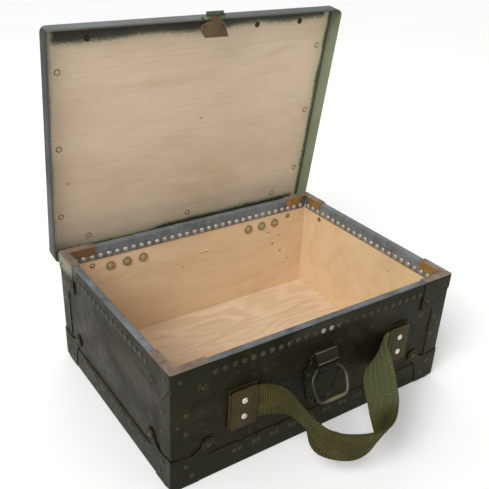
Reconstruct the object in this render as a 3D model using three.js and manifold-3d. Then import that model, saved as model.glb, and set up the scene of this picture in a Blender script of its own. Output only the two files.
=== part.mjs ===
// A small military footlocker: a plywood box in a painted fibre skin, edged in pressed
// steel, with a pan lid that shuts over the rim, a ring latch and a webbing handle.
// Millimetres. +X is right, +Y is back, +Z is up. The origin is on the ground under the
// middle of the box. The lid stands open.
import * as THREE from 'three';
import { mergeVertices } from 'three/addons/utils/BufferGeometryUtils.js';
import Module from 'manifold-3d';

const wasm = await Module();
wasm.setup();

// Driving dimensions
const HALF_WIDTH = 225;
const HALF_DEPTH = 165;
const RIM_TOP = 175.9;
const STEEL = 0.8;
const GAP = 0.3;
const SKIN = 1.2;
const PLY = 6;
const FLOOR_THICK = 8;
const OPEN_DEGREES = 81.5;

// Layers from the outside of a corner cap inwards, as insets from HALF_WIDTH or HALF_DEPTH
const CAP_IN = STEEL;
const TRIM_OUT = CAP_IN + GAP;
const TRIM_IN = TRIM_OUT + STEEL;
const SKIN_OUT = TRIM_IN + GAP;
const SKIN_IN = SKIN_OUT + SKIN;
const WALL_OUT = SKIN_IN + GAP;
const WALL_IN = WALL_OUT + PLY;
const LINER_OUT = WALL_IN + GAP;
const LINER_IN = LINER_OUT + STEEL;

// Rim rails, caps, edging and corner protectors
const WALL_BOTTOM = STEEL + GAP;
const WALL_TOP = RIM_TOP - STEEL - GAP;
const RAIL_BOTTOM = 154;
const RAIL_RIVET_Z = 159.5;
const RIVET_PITCH = 13.2;
const RIVET_RADIUS = 3.6;
const RIVET_HEIGHT = 1.2;
const LINER_RIVETS = { x: 32, y: 23 };
const OUTER_RIVETS = { x: 26, y: 17 };
const CORNER_RELIEF = 4;
const CORNER_ROUND = 1.5;
const CAP_REACH = 52;
const CAP_BOTTOM = 129;
const CAP_NOTCH = 155;
const CAP_TAB_BOTTOM = 163.6;
const EDGE_STRIP_WIDTH = 26;
const BOTTOM_STRIP_HEIGHT = 36;
const BOTTOM_FLANGE = 8.5;
const PROTECTOR_REACH = 39;
const LOBE = { reach: 52, height: 54, radius: 9.5 };

// Lid, as it is when shut
const LID_CLEARANCE = 2.6;
const LID_SHEET = 0.9;
const LID_DEPTH = 25.9;
const LID_RIM = 157;
const LID_CORNER = 7.2;
const LID_BEVEL = 2.5;
const LID_PLY = 4;

// Back hinges
const HINGE_Y = HALF_DEPTH + 3.45;
const HINGE_Z = 152.4;
const HINGE_CENTRES = { left: -124, right: 124 };
const HINGE_HALF = 38;
const KNUCKLE_HALF = 14;
const KNUCKLE_RADIUS = 3;
const KNUCKLE_BORE = 1.7;
const PIN_RADIUS = 1.4;
const LEAF = 1.4;
const BOLT_PITCH = 26.7;
const BOLT_Z = 138.5;
const BOLT_HOLE = 2.9;

// Latch on the front and hasp on the lid
const LATCH_BACK = -(HALF_DEPTH - TRIM_OUT - STEEL);
const LATCH_PLATE = 1.2;
const BAIL_Y = -169.6;
const BAIL_Z = 106;
const BAIL_WIRE = 1.6;
const BAIL_DROP = 43.2;
const BAIL_REST = 30;
const HASP_Y = -170.6;
const HASP_Z = 155;
const HASP_RADIUS = 2.3;
const HASP_LEFT = -11.5;
const HASP_RIGHT = 15.7;
const TONGUE_LEFT = -5;
const TONGUE_RIGHT = 11;
const TONGUE_REST = 12;

// Webbing handle
const HANDLE_Z = 92;
const PLATE_CENTRES = { left: -126, right: 132 };
const PLATE_HALF_WIDTH = 18.5;
const PLATE_HALF_HEIGHT = 29;
const RIVET_RISE = 12;
const WEBBING_WIDTH = 50;
const WEBBING_THICK = 2.6;
const WEBBING_Y = -166.3;

const MATERIALS = {
  plywood: { color: 0xc6a880, roughness: 0.75, metalness: 0 },
  fibre: { color: 0x2c2b22, roughness: 0.7, metalness: 0 },
  railSteel: { color: 0x6d7577, roughness: 0.5, metalness: 0.4 },
  capSteel: { color: 0x6b5f4e, roughness: 0.5, metalness: 0.4 },
  blackSteel: { color: 0x2b2a22, roughness: 0.5, metalness: 0.3 },
  lidPaint: { color: 0x6f7672, roughness: 0.55, metalness: 0.2 },
  leatherPlate: { color: 0x5e4e38, roughness: 0.6, metalness: 0.1 },
  brightSteel: { color: 0xb9b7ae, roughness: 0.35, metalness: 0.8 },
  webbing: { color: 0x54562f, roughness: 0.9, metalness: 0 },
  haspSteel: { color: 0x5b4a35, roughness: 0.5, metalness: 0.4 },
};

const X_AXIS = new THREE.Vector3(1, 0, 0);
const Y_AXIS = new THREE.Vector3(0, 1, 0);
const Z_AXIS = new THREE.Vector3(0, 0, 1);
const SIDES = [['left', -1], ['right', 1]];
const ENDS = [['front', -1], ['back', 1]];

// Booleans -------------------------------------------------------------------------

function toSolid(geometry) {
  const bare = geometry.clone();
  bare.deleteAttribute('normal');
  bare.deleteAttribute('uv');
  const merged = mergeVertices(bare, 1e-4);
  return new wasm.Manifold(new wasm.Mesh({
    numProp: 3,
    vertProperties: Float32Array.from(merged.attributes.position.array),
    triVerts: Uint32Array.from(merged.index.array),
  }));
}

function toGeometry(solid) {
  const mesh = solid.getMesh();
  const geometry = new THREE.BufferGeometry();
  geometry.setAttribute('position', new THREE.BufferAttribute(mesh.vertProperties, 3));
  geometry.setIndex(new THREE.BufferAttribute(mesh.triVerts, 1));
  return geometry;
}

function join(geometries) {
  return toGeometry(geometries.map(toSolid).reduce((sum, next) => sum.add(next)));
}

function cut(geometry, tools) {
  return toGeometry(tools.map(toSolid).reduce((rest, tool) => rest.subtract(tool), toSolid(geometry)));
}

function overlapOf(a, b) {
  return toGeometry(toSolid(a).intersect(toSolid(b)));
}

// Simple solids ----------------------------------------------------------------------

// A box between two opposite corners, given in any order
function block(p, q) {
  const size = p.map((value, i) => Math.abs(value - q[i]));
  const centre = p.map((value, i) => (value + q[i]) / 2);
  return new THREE.BoxGeometry(...size).translate(...centre);
}

// A round bar from one point to another; the second radius is the far end's
function bar(from, to, radius, sides = 12, farRadius = radius) {
  const start = new THREE.Vector3(...from);
  const along = new THREE.Vector3(...to).sub(start);
  const geometry = new THREE.CylinderGeometry(farRadius, radius, along.length(), sides);
  const turn = new THREE.Quaternion().setFromUnitVectors(Y_AXIS, along.clone().normalize());
  const middle = start.addScaledVector(along, 0.5);
  return geometry.applyQuaternion(turn).translate(middle.x, middle.y, middle.z);
}

// A domed head standing on a face, sunk a little into it so that it can be joined
function head(point, normal, radius = RIVET_RADIUS, height = RIVET_HEIGHT, sides = 6) {
  const sink = STEEL / 2;
  const from = point.map((value, i) => value - normal[i] * sink);
  const to = point.map((value, i) => value + normal[i] * height);
  return bar(from, to, radius, sides, radius * 0.6);
}

function outline(points) {
  return new THREE.Shape(points.map(([u, v]) => new THREE.Vector2(u, v)));
}

// A plate in the XZ plane whose drawing is (x, z), from y down to y - thick
function plateXZ(points, y, thick) {
  const geometry = new THREE.ExtrudeGeometry(outline(points), { depth: thick, bevelEnabled: false });
  geometry.applyMatrix4(new THREE.Matrix4().makeBasis(X_AXIS, Z_AXIS, Y_AXIS.clone().negate()));
  return geometry.translate(0, y, 0);
}

// A plate in the YZ plane whose drawing is (y, z), from x up to x + thick
function plateYZ(points, x, thick) {
  const geometry = new THREE.ExtrudeGeometry(outline(points), { depth: thick, bevelEnabled: false });
  geometry.applyMatrix4(new THREE.Matrix4().makeBasis(Y_AXIS, Z_AXIS, X_AXIS));
  return geometry.translate(x, 0, 0);
}

// A rounded rectangle centred on the origin
function roundedRectangle(halfWidth, halfDepth, radius) {
  const shape = new THREE.Shape();
  shape.absarc(halfWidth - radius, halfDepth - radius, radius, 0, Math.PI / 2);
  shape.absarc(-halfWidth + radius, halfDepth - radius, radius, Math.PI / 2, Math.PI);
  shape.absarc(-halfWidth + radius, -halfDepth + radius, radius, Math.PI, 1.5 * Math.PI);
  shape.absarc(halfWidth - radius, -halfDepth + radius, radius, 1.5 * Math.PI, 2 * Math.PI);
  return shape;
}

function mesh(name, geometry, material) {
  const piece = new THREE.Mesh(geometry, new THREE.MeshStandardMaterial(MATERIALS[material]));
  piece.name = name;
  return piece;
}

// Evenly spaced positions, centred on zero
function row(count, pitch) {
  return Array.from({ length: count }, (_, i) => (i - (count - 1) / 2) * pitch);
}

// Box ------------------------------------------------------------------------------------

function boltPositions() {
  return SIDES.flatMap(([side]) => row(3, BOLT_PITCH).map((offset, i) => ({
    name: `hinge_bolt_${side}_${i + 1}`,
    x: HINGE_CENTRES[side] + offset,
  })));
}

function boltHoles() {
  const far = HALF_DEPTH + 10;
  const near = HALF_DEPTH - WALL_IN - 10;
  return boltPositions().map(({ x }) => bar([x, near, BOLT_Z], [x, far, BOLT_Z], BOLT_HOLE, 8));
}

function floorPanel() {
  const x = HALF_WIDTH - WALL_IN - GAP;
  const y = HALF_DEPTH - WALL_IN - GAP;
  return mesh('floor_panel', block([-x, -y, 0], [x, y, FLOOR_THICK]), 'plywood');
}

// The front and back walls run the full width and the side walls fit between them
function walls() {
  const xOut = HALF_WIDTH - WALL_OUT;
  const xIn = HALF_WIDTH - WALL_IN;
  const yOut = HALF_DEPTH - WALL_OUT;
  const yIn = HALF_DEPTH - WALL_IN;
  const long = ENDS.map(([name, sy]) => {
    const board = block([-xOut, sy * yIn, WALL_BOTTOM], [xOut, sy * yOut, WALL_TOP]);
    return mesh(`${name}_wall`, sy > 0 ? cut(board, boltHoles()) : board, 'plywood');
  });
  const short = SIDES.map(([name, sx]) => {
    const y = yIn - GAP;
    return mesh(`${name}_wall`, block([sx * xIn, -y, WALL_BOTTOM], [sx * xOut, y, WALL_TOP]), 'plywood');
  });
  return [...long, ...short];
}

function fibreSkin() {
  const outer = block(
    [-(HALF_WIDTH - SKIN_OUT), -(HALF_DEPTH - SKIN_OUT), WALL_BOTTOM],
    [HALF_WIDTH - SKIN_OUT, HALF_DEPTH - SKIN_OUT, WALL_TOP],
  );
  const inner = block(
    [-(HALF_WIDTH - SKIN_IN), -(HALF_DEPTH - SKIN_IN), WALL_BOTTOM - 1],
    [HALF_WIDTH - SKIN_IN, HALF_DEPTH - SKIN_IN, WALL_TOP + 1],
  );
  return mesh('fibre_skin', cut(outer, [inner, ...boltHoles()]), 'fibre');
}

// A rail is a channel over the top of one wall. In its own drawing, "along" runs with the
// wall and "across" points out of the box. Rivet heads stand on both faces.
function rail(name, place, half, reach, ends) {
  const across = (inset) => reach - inset;
  const lineHalf = ends.liner;
  const parts = [
    block(place(-half, across(TRIM_IN), RAIL_BOTTOM), place(half, across(TRIM_OUT), RIM_TOP)),
    block(place(-half, across(LINER_IN), RIM_TOP - STEEL), place(half, across(TRIM_OUT), RIM_TOP)),
    block(place(-lineHalf, across(LINER_IN), RAIL_BOTTOM), place(lineHalf, across(LINER_OUT), RIM_TOP)),
  ];
  const inward = place(0, -1, 0).map((value, i) => value - place(0, 0, 0)[i]);
  const outward = inward.map((value) => -value);
  for (const along of row(ends.inside, RIVET_PITCH)) {
    parts.push(head(place(along, across(LINER_IN), RAIL_RIVET_Z), inward));
  }
  for (const along of row(ends.outside, RIVET_PITCH)) {
    parts.push(head(place(along, across(TRIM_OUT), RAIL_RIVET_Z), outward));
  }
  return mesh(name, join(parts), 'railSteel');
}

function rails() {
  const longHalf = HALF_WIDTH - TRIM_OUT;
  const shortHalf = HALF_DEPTH - LINER_IN - GAP;
  const longEnds = {
    liner: HALF_WIDTH - WALL_IN - CORNER_RELIEF,
    inside: LINER_RIVETS.x,
    outside: OUTER_RIVETS.x,
  };
  const shortEnds = {
    liner: HALF_DEPTH - WALL_IN - CORNER_RELIEF,
    inside: LINER_RIVETS.y,
    outside: OUTER_RIVETS.y,
  };
  const long = ENDS.map(([name, sy]) => (
    rail(`${name}_rail`, (along, across, z) => [along, sy * across, z], longHalf, HALF_DEPTH, longEnds)));
  const short = SIDES.map(([name, sx]) => (
    rail(`${name}_rail`, (along, across, z) => [sx * across, along, z], shortHalf, HALF_WIDTH, shortEnds)));
  return [...long, ...short];
}

// Corner pieces are drawn as (distance from the corner edge, height) and used on both faces
function onFrontOrBack(points, sx, sy, inset, thick) {
  const drawn = points.map(([a, z]) => [sx * (HALF_WIDTH - inset - a), z]);
  const outer = sy * (HALF_DEPTH - inset);
  return plateXZ(drawn, sy > 0 ? outer : outer + thick, thick);
}

function onSide(points, sx, sy, inset, thick) {
  const drawn = points.map(([a, z]) => [sy * (HALF_DEPTH - inset - a), z]);
  const outer = sx * (HALF_WIDTH - inset);
  return plateYZ(drawn, sx > 0 ? outer - thick : outer, thick);
}

function faceHead(a, z, sx, sy, inset, radius, height, sides) {
  const x = sx * (HALF_WIDTH - inset - a);
  const y = sy * (HALF_DEPTH - inset - a);
  return [
    head([x, sy * (HALF_DEPTH - inset), z], [0, sy, 0], radius, height, sides),
    head([sx * (HALF_WIDTH - inset), y, z], [sx, 0, 0], radius, height, sides),
  ];
}

// Rounds the upright corner edges of what reaches the outside of the box
function rounded(geometry) {
  const shape = roundedRectangle(HALF_WIDTH, HALF_DEPTH, CORNER_ROUND);
  const upright = new THREE.ExtrudeGeometry(shape, { depth: 200, bevelEnabled: false, curveSegments: 2 });
  return overlapOf(geometry, upright);
}

// A cap is a folded sheet over a rim corner: two skirts outside, a top, and two tabs inside
function cornerCap(name, sx, sy) {
  const top = RIM_TOP + GAP + STEEL;
  const skirt = [
    [0, top], [CAP_REACH, top], [CAP_REACH, CAP_BOTTOM], [20, CAP_BOTTOM], [2.5, CAP_NOTCH], [0, CAP_NOTCH],
  ];
  const x = (inset) => sx * (HALF_WIDTH - inset);
  const y = (inset) => sy * (HALF_DEPTH - inset);
  const tabOut = LINER_IN + GAP;
  const tabIn = tabOut + STEEL;
  const tabStart = 25;
  const parts = [
    onFrontOrBack(skirt, sx, sy, 0, STEEL),
    onSide(skirt, sx, sy, 0, STEEL),
    block([x(0), y(0), top - STEEL], [x(CAP_REACH), y(tabIn), top]),
    block([x(0), y(0), top - STEEL], [x(tabIn), y(CAP_REACH), top]),
    block([x(tabStart), y(tabOut), CAP_TAB_BOTTOM], [x(CAP_REACH), y(tabIn), top]),
    block([x(tabOut), y(tabStart), CAP_TAB_BOTTOM], [x(tabIn), y(CAP_REACH), top]),
  ];
  const heads = faceHead(42, 144, sx, sy, 0, 3.4, 1, 8);
  return mesh(name, join([rounded(join(parts)), ...heads]), 'capSteel');
}

// An angle up each corner, from the bottom edging to the rails
function edgeStrip(name, sx, sy) {
  const low = BOTTOM_STRIP_HEIGHT + GAP;
  const high = RAIL_BOTTOM - GAP;
  const leg = [[0, low], [EDGE_STRIP_WIDTH, low], [EDGE_STRIP_WIDTH, high], [0, high]];
  const rivets = [83, 112].flatMap((z) => faceHead(20, z, sx, sy, TRIM_OUT, 3, 0.9, 8));
  const parts = [
    onFrontOrBack(leg, sx, sy, TRIM_OUT, STEEL),
    onSide(leg, sx, sy, TRIM_OUT, STEEL),
    ...rivets,
  ];
  return mesh(name, join(parts), 'blackSteel');
}

// The stamped protector's lobed outline, from the corner edge outwards
function lobedOutline() {
  const points = [[0, 0], [0, 49], [12, 47], [24, 45], [34, 49]];
  for (let degrees = 150; degrees >= -50; degrees -= 25) {
    const angle = THREE.MathUtils.degToRad(degrees);
    points.push([LOBE.reach + LOBE.radius * Math.cos(angle), LOBE.height + LOBE.radius * Math.sin(angle)]);
  }
  points.push([45, 33], [40.5, 20], [PROTECTOR_REACH, 0]);
  return points;
}

function cornerProtector(name, sx, sy) {
  const x = (inset) => sx * (HALF_WIDTH - inset);
  const y = (inset) => sy * (HALF_DEPTH - inset);
  const under = TRIM_OUT + BOTTOM_FLANGE;
  const parts = [
    onFrontOrBack(lobedOutline(), sx, sy, 0, STEEL),
    onSide(lobedOutline(), sx, sy, 0, STEEL),
    block([x(0), y(0), 0], [x(PROTECTOR_REACH), y(under), STEEL]),
    block([x(0), y(0), 0], [x(under), y(PROTECTOR_REACH), STEEL]),
  ];
  const heads = [
    ...faceHead(LOBE.reach, LOBE.height, sx, sy, 0, 5.6, 1, 10),
    ...faceHead(20, 34, sx, sy, 0, 3, 0.9, 8),
  ];
  return mesh(name, join([rounded(join(parts)), ...heads]), 'blackSteel');
}

function corners() {
  return ENDS.flatMap(([end, sy]) => SIDES.flatMap(([side, sx]) => [
    cornerCap(`cap_${end}_${side}`, sx, sy),
    edgeStrip(`edge_strip_${end}_${side}`, sx, sy),
    cornerProtector(`corner_protector_${end}_${side}`, sx, sy),
  ]));
}

// Angles round the bottom edge; their rivets stand in pairs. They stop short of the corner
// underneath, where the protectors turn in.
function bottomStrip(name, place, half, reach, pairs) {
  const flangeHalf = half - PROTECTOR_REACH - GAP;
  const parts = [
    block(place(-half, reach - TRIM_IN, WALL_BOTTOM), place(half, reach - TRIM_OUT, BOTTOM_STRIP_HEIGHT)),
    block(
      place(-flangeHalf, reach - TRIM_OUT - BOTTOM_FLANGE, 0),
      place(flangeHalf, reach - TRIM_OUT, STEEL),
    ),
    block(place(-flangeHalf, reach - TRIM_IN, 0), place(flangeHalf, reach - TRIM_OUT, BOTTOM_STRIP_HEIGHT)),
  ];
  const out = place(0, 1, 0).map((value, i) => value - place(0, 0, 0)[i]);
  for (const centre of row(pairs, 29)) {
    for (const offset of [-4, 4]) {
      parts.push(head(place(centre + offset, reach - TRIM_OUT, 25), out, 3, 0.9));
    }
  }
  return mesh(name, join(parts), 'blackSteel');
}

function bottomStrips() {
  const longHalf = HALF_WIDTH - TRIM_OUT;
  const shortHalf = HALF_DEPTH - TRIM_IN - GAP;
  const long = ENDS.map(([name, sy]) => (
    bottomStrip(`bottom_strip_${name}`, (a, b, z) => [a, sy * b, z], longHalf, HALF_DEPTH, 10)));
  const short = SIDES.map(([name, sx]) => (
    bottomStrip(`bottom_strip_${name}`, (a, b, z) => [sx * b, a, z], shortHalf, HALF_WIDTH, 7)));
  return [...long, ...short];
}

// Hinges -----------------------------------------------------------------------------------

function knuckle(x0, x1) {
  return bar([x0, HINGE_Y, HINGE_Z], [x1, HINGE_Y, HINGE_Z], KNUCKLE_RADIUS);
}

function pinBore(centre) {
  const reach = HINGE_HALF + 5;
  return bar([centre - reach, HINGE_Y, HINGE_Z], [centre + reach, HINGE_Y, HINGE_Z], KNUCKLE_BORE);
}

// The lower leaf lies on the skin and carries the two outer knuckles
function lowerLeaf(side) {
  const centre = HINGE_CENTRES[side];
  const face = HALF_DEPTH - TRIM_IN;
  const parts = [block([centre - HINGE_HALF, face, 124], [centre + HINGE_HALF, face + LEAF, 150])];
  for (const direction of [-1, 1]) {
    const inner = centre + direction * KNUCKLE_HALF;
    const outer = centre + direction * HINGE_HALF;
    parts.push(block([inner, face, 148.6], [outer, HINGE_Y, 150]));
    parts.push(knuckle(inner, outer));
  }
  return mesh(`hinge_lower_leaf_${side}`, cut(join(parts), [pinBore(centre), ...boltHoles()]), 'blackSteel');
}

// The upper leaf lies on the back of the lid and carries the middle knuckle
function upperLeaf(side) {
  const centre = HINGE_CENTRES[side];
  const face = HALF_DEPTH + LID_CLEARANCE + GAP;
  const half = KNUCKLE_HALF - GAP;
  const parts = [
    block([centre - HINGE_HALF, face, 158.5], [centre + HINGE_HALF, face + LEAF, 179]),
    block([centre - half, face, HINGE_Z], [centre + half, face + LEAF, 160]),
    knuckle(centre - half, centre + half),
    ...row(3, BOLT_PITCH).map((offset) => head([centre + offset, face + LEAF, 169], [0, 1, 0], 3.4, 1.2, 8)),
  ];
  return mesh(`hinge_upper_leaf_${side}`, cut(join(parts), [pinBore(centre)]), 'blackSteel');
}

function hingePin(side) {
  const centre = HINGE_CENTRES[side];
  const reach = HINGE_HALF + 1;
  const shaft = bar([centre - reach, HINGE_Y, HINGE_Z], [centre + reach, HINGE_Y, HINGE_Z], PIN_RADIUS, 10);
  return mesh(`hinge_pin_${side}`, shaft, 'brightSteel');
}

// A bolt through the lower leaf and the back wall, with a broad flat head inside
function hingeBolt({ name, x }) {
  const inside = HALF_DEPTH - WALL_IN - GAP;
  const outside = HALF_DEPTH - TRIM_IN + LEAF + GAP;
  const parts = [
    bar([x, inside - 1.4, BOLT_Z], [x, inside, BOLT_Z], 7.2, 16),
    bar([x, inside - 0.5, BOLT_Z], [x, outside + 0.5, BOLT_Z], 2.5, 8),
    bar([x, outside, BOLT_Z], [x, outside + 2, BOLT_Z], 4.5, 6),
  ];
  return mesh(name, join(parts), 'brightSteel');
}

// Latch --------------------------------------------------------------------------------------

function latchBasePlate() {
  const half = [[17.5, 130], [24, 123.5], [24.5, 108], [31, 107], [29, 86], [22, 58], [12, 46]];
  const drawn = [...half, ...half.map(([x, z]) => [-x, z]).reverse()];
  const face = LATCH_BACK - LATCH_PLATE;
  const rivets = [[20.8, 116], [26, 100], [14, 52]].flatMap(([x, z]) => [-x, x].map((at) => (
    head([at, face, z], [0, -1, 0], 2.6, 0.8, 8))));
  return mesh('latch_base_plate', join([plateXZ(drawn, LATCH_BACK, LATCH_PLATE), ...rivets]), 'blackSteel');
}

// The clip is folded round the top bar of the ring, under a sloping hood
function latchHood(back, half) {
  const shape = new THREE.Shape([
    [back + 0.5, 129], [back - 0.5, 129], [-173.6, 118.2], [-173.6, 116.2], [-172.4, 116.2],
    [-172.4, 117.4], [back + 0.5, 126.6],
  ].map(([y, z]) => new THREE.Vector2(y, z)));
  const hood = new THREE.ExtrudeGeometry(shape, { depth: 2 * half, bevelEnabled: false });
  // The outline's first axis becomes +Y, its second +Z, and its depth +X
  hood.applyMatrix4(new THREE.Matrix4().set(0, 0, 1, -half, 1, 0, 0, 0, 0, 1, 0, 0, 0, 0, 0, 1));
  return hood;
}

function latchClip() {
  const half = 14;
  const face = LATCH_BACK - LATCH_PLATE - GAP;
  const parts = [
    block([-17, face - 1.4, 110], [17, face, 129]),
    latchHood(face - 1.4, 17),
    block([-half, BAIL_Y, 107.6], [half, face, 110.5]),
    bar([-half, BAIL_Y, BAIL_Z], [half, BAIL_Y, BAIL_Z], 3.6, 16),
  ];
  const bore = bar([-half - 1, BAIL_Y, BAIL_Z], [half + 1, BAIL_Y, BAIL_Z], BAIL_WIRE + 0.4, 16);
  return mesh('latch_clip', cut(join(parts), [bore]), 'haspSteel');
}

// The ring's top bar turns in the clip, and friction there holds the ring a little forward.
// It has wide shoulders and a thicker grip bar. A place on it is given by its x and its
// distance from the top bar.
function onRing(x, reach) {
  const swing = THREE.MathUtils.degToRad(BAIL_REST);
  return [x, BAIL_Y - reach * Math.sin(swing), BAIL_Z - reach * Math.cos(swing)];
}

function latchBail() {
  const half = [
    [14.6, 0], [17.5, 2.4], [23.5, 7.5], [27, 12.5], [27.6, 18.5], [26.4, 30], [25, 37.5], [21.5, 42],
    [17, BAIL_DROP],
  ];
  const points = [...half, ...half.map(([x, reach]) => [-x, reach]).reverse()];
  const path = new THREE.CatmullRomCurve3(
    points.map(([x, reach]) => new THREE.Vector3(...onRing(x, reach))), false, 'centripetal');
  const section = new THREE.Shape().absarc(0, 0, BAIL_WIRE, 0, 2 * Math.PI);
  const wire = new THREE.ExtrudeGeometry(section, { steps: 30, extrudePath: path, curveSegments: 4 });
  const parts = [
    wire,
    bar(onRing(-15, 0), onRing(15, 0), BAIL_WIRE, 10),
    bar(onRing(-16, BAIL_DROP), onRing(16, BAIL_DROP), 2, 10),
  ];
  return mesh('latch_bail', join(parts), 'blackSteel');
}

// Handle -------------------------------------------------------------------------------------

// Stations of the webbing: the middle of its width, and the way its width points. It
// leaves each plate flat on the front, swings out as a stiff loop and droops a little.
const WEBBING_STATIONS = [
  [[-146, WEBBING_Y, 92], [0, 0, 1]],
  [[-125, WEBBING_Y, 92], [0, 0, 1]],
  [[-106, WEBBING_Y, 92], [0, 0, 1]],
  [[-101, -166.9, 91.8], [0, 0, 1]],
  [[-87, -172, 91], [-0.05, -0.07, 1]],
  [[-74.2, -185.3, 90.1], [-0.22, -0.11, 0.97]],
  [[-66.1, -220, 79.9], [-0.29, -0.34, 0.89]],
  [[-55.8, -246, 62.4], [0.24, -0.43, 0.87]],
  [[-22.5, -268, 58.7], [0.19, -0.24, 0.95]],
  [[15, -267, 62], [0.09, -0.4, 0.91]],
  [[40, -240, 73], [0.34, -0.58, 0.74]],
  [[59, -208, 88.5], [0.43, -0.58, 0.69]],
  [[81, -180, 96], [0.24, -0.38, 0.89]],
  [[97, -169, 93.5], [0.06, -0.1, 1]],
  [[106, -166.9, 92.4], [0, 0, 1]],
  [[111, WEBBING_Y, 92], [0, 0, 1]],
  [[133, WEBBING_Y, 92], [0, 0, 1]],
  [[151, WEBBING_Y, 92], [0, 0, 1]],
];

function rivetSpots() {
  return SIDES.flatMap(([side]) => [['lower', -1], ['upper', 1]].map(([level, sz]) => ({
    name: `handle_rivet_${side}_${level}`,
    x: PLATE_CENTRES[side],
    z: HANDLE_Z + sz * RIVET_RISE,
  })));
}

function rivetHoles() {
  return rivetSpots().map(({ x, z }) => bar([x, -180, z], [x, -160, z], 2.4, 8));
}

// A flat box bent along the stations
function webbingHandle() {
  const centres = new THREE.CatmullRomCurve3(WEBBING_STATIONS.map(([at]) => new THREE.Vector3(...at)));
  const widths = new THREE.CatmullRomCurve3(WEBBING_STATIONS.map(([, way]) => new THREE.Vector3(...way)));
  const steps = 48;
  const strip = new THREE.BoxGeometry(1, WEBBING_THICK, WEBBING_WIDTH, steps, 1, 1);
  const position = strip.attributes.position;
  for (let i = 0; i < position.count; i += 1) {
    const t = THREE.MathUtils.clamp(position.getX(i) + 0.5, 0, 1);
    const tangent = centres.getTangent(t);
    const across = widths.getPoint(t).projectOnPlane(tangent).normalize();
    const normal = new THREE.Vector3().crossVectors(across, tangent);
    const point = centres.getPoint(t).addScaledVector(normal, position.getY(i));
    point.addScaledVector(across, position.getZ(i));
    position.setXYZ(i, point.x, point.y, point.z);
  }
  return mesh('webbing_handle', cut(strip, rivetHoles()), 'webbing');
}

function handlePlates() {
  return SIDES.flatMap(([side]) => {
    const centre = PLATE_CENTRES[side];
    const front = WEBBING_Y - WEBBING_THICK / 2 - GAP;
    const behind = WEBBING_Y + WEBBING_THICK / 2 + GAP;
    const plate = block(
      [centre - PLATE_HALF_WIDTH, front - 1.4, HANDLE_Z - PLATE_HALF_HEIGHT],
      [centre + PLATE_HALF_WIDTH, front, HANDLE_Z + PLATE_HALF_HEIGHT],
    );
    const pad = block(
      [centre - PLATE_HALF_WIDTH - 2, behind, HANDLE_Z - PLATE_HALF_HEIGHT - 2],
      [centre + PLATE_HALF_WIDTH + 2, LATCH_BACK, HANDLE_Z + PLATE_HALF_HEIGHT + 2],
    );
    return [
      mesh(`handle_plate_${side}`, cut(plate, rivetHoles()), 'leatherPlate'),
      mesh(`handle_pad_${side}`, cut(pad, rivetHoles()), 'leatherPlate'),
    ];
  });
}

function handleRivet({ name, x, z }) {
  const face = WEBBING_Y - WEBBING_THICK / 2 - GAP - 1.4 - GAP;
  const parts = [
    bar([x, face, z], [x, face - 1.6, z], 4, 12, 2.6),
    bar([x, face - 0.5, z], [x, LATCH_BACK, z], 2, 8),
  ];
  return mesh(name, join(parts), 'brightSteel');
}

// Lid, drawn shut ------------------------------------------------------------------------------

// A block with rounded upright edges and a bevel at the top, open-bottomed drawings use it twice
function panBlock(inset, low, high) {
  const size = LID_BEVEL;
  const shape = roundedRectangle(
    HALF_WIDTH + LID_CLEARANCE - inset - size,
    HALF_DEPTH + LID_CLEARANCE - inset - size,
    LID_CORNER - inset - size,
  );
  const bevelled = new THREE.ExtrudeGeometry(shape, {
    depth: high - low - size + 10,
    bevelSize: size,
    bevelThickness: size,
    bevelSegments: 2,
    curveSegments: 4,
  }).translate(0, 0, low - 10);
  const keep = block([-300, -300, low], [300, 300, high + 5]);
  return overlapOf(bevelled, keep);
}

function lidShell() {
  const outer = panBlock(0, LID_RIM, LID_RIM + LID_DEPTH);
  const inner = panBlock(LID_SHEET, LID_RIM - 5, LID_RIM + LID_DEPTH - LID_SHEET);
  return mesh('lid_shell', cut(outer, [inner]), 'lidPaint');
}

function lidPanel() {
  const inset = LID_SHEET + LID_BEVEL;
  const shape = roundedRectangle(
    HALF_WIDTH + LID_CLEARANCE - inset,
    HALF_DEPTH + LID_CLEARANCE - inset,
    LID_CORNER - inset,
  );
  const top = LID_RIM + LID_DEPTH - LID_SHEET - GAP;
  const board = new THREE.ExtrudeGeometry(shape, { depth: LID_PLY, bevelEnabled: false, curveSegments: 4 });
  return mesh('lid_panel', board.translate(0, 0, top - LID_PLY), 'plywood');
}

// The leaf is a short foot on the front of the lid with two knuckles at the rim. A lip stands
// out over the knuckles, with a cheek turned down at its right end.
function haspLeaf() {
  const face = -(HALF_DEPTH + LID_CLEARANCE + GAP);
  const parts = [
    block([HASP_LEFT, face - 1.1, HASP_Z + 1], [HASP_RIGHT, face, 168]),
    block([-10, -178.2, 158], [17.1, face - 0.5, 159.2]),
    block([15.9, -176, 152.5], [17.1, face - 0.5, 159.2]),
  ];
  for (const [from, to] of [[HASP_LEFT, TONGUE_LEFT - GAP], [TONGUE_RIGHT + GAP, HASP_RIGHT]]) {
    parts.push(bar([from, HASP_Y, HASP_Z], [to, HASP_Y, HASP_Z], HASP_RADIUS));
    parts.push(block([from, face - 1.1, HASP_Z - 1], [to, face, HASP_Z + 3]));
  }
  const gap = [TONGUE_LEFT - GAP, TONGUE_RIGHT + GAP];
  const notch = block([gap[0], face - 2, HASP_Z - 4], [gap[1], face + 1, HASP_Z + 2.9]);
  const bore = bar([-20, HASP_Y, HASP_Z], [20, HASP_Y, HASP_Z], 1.3, 10);
  return mesh('hasp_leaf', cut(join(parts), [bore, notch]), 'blackSteel');
}

function haspPin() {
  const shaft = bar([HASP_LEFT - 0.5, HASP_Y, HASP_Z], [HASP_RIGHT + 1.9, HASP_Y, HASP_Z], 1, 10);
  return mesh('hasp_pin', shaft, 'brightSteel');
}

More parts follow.
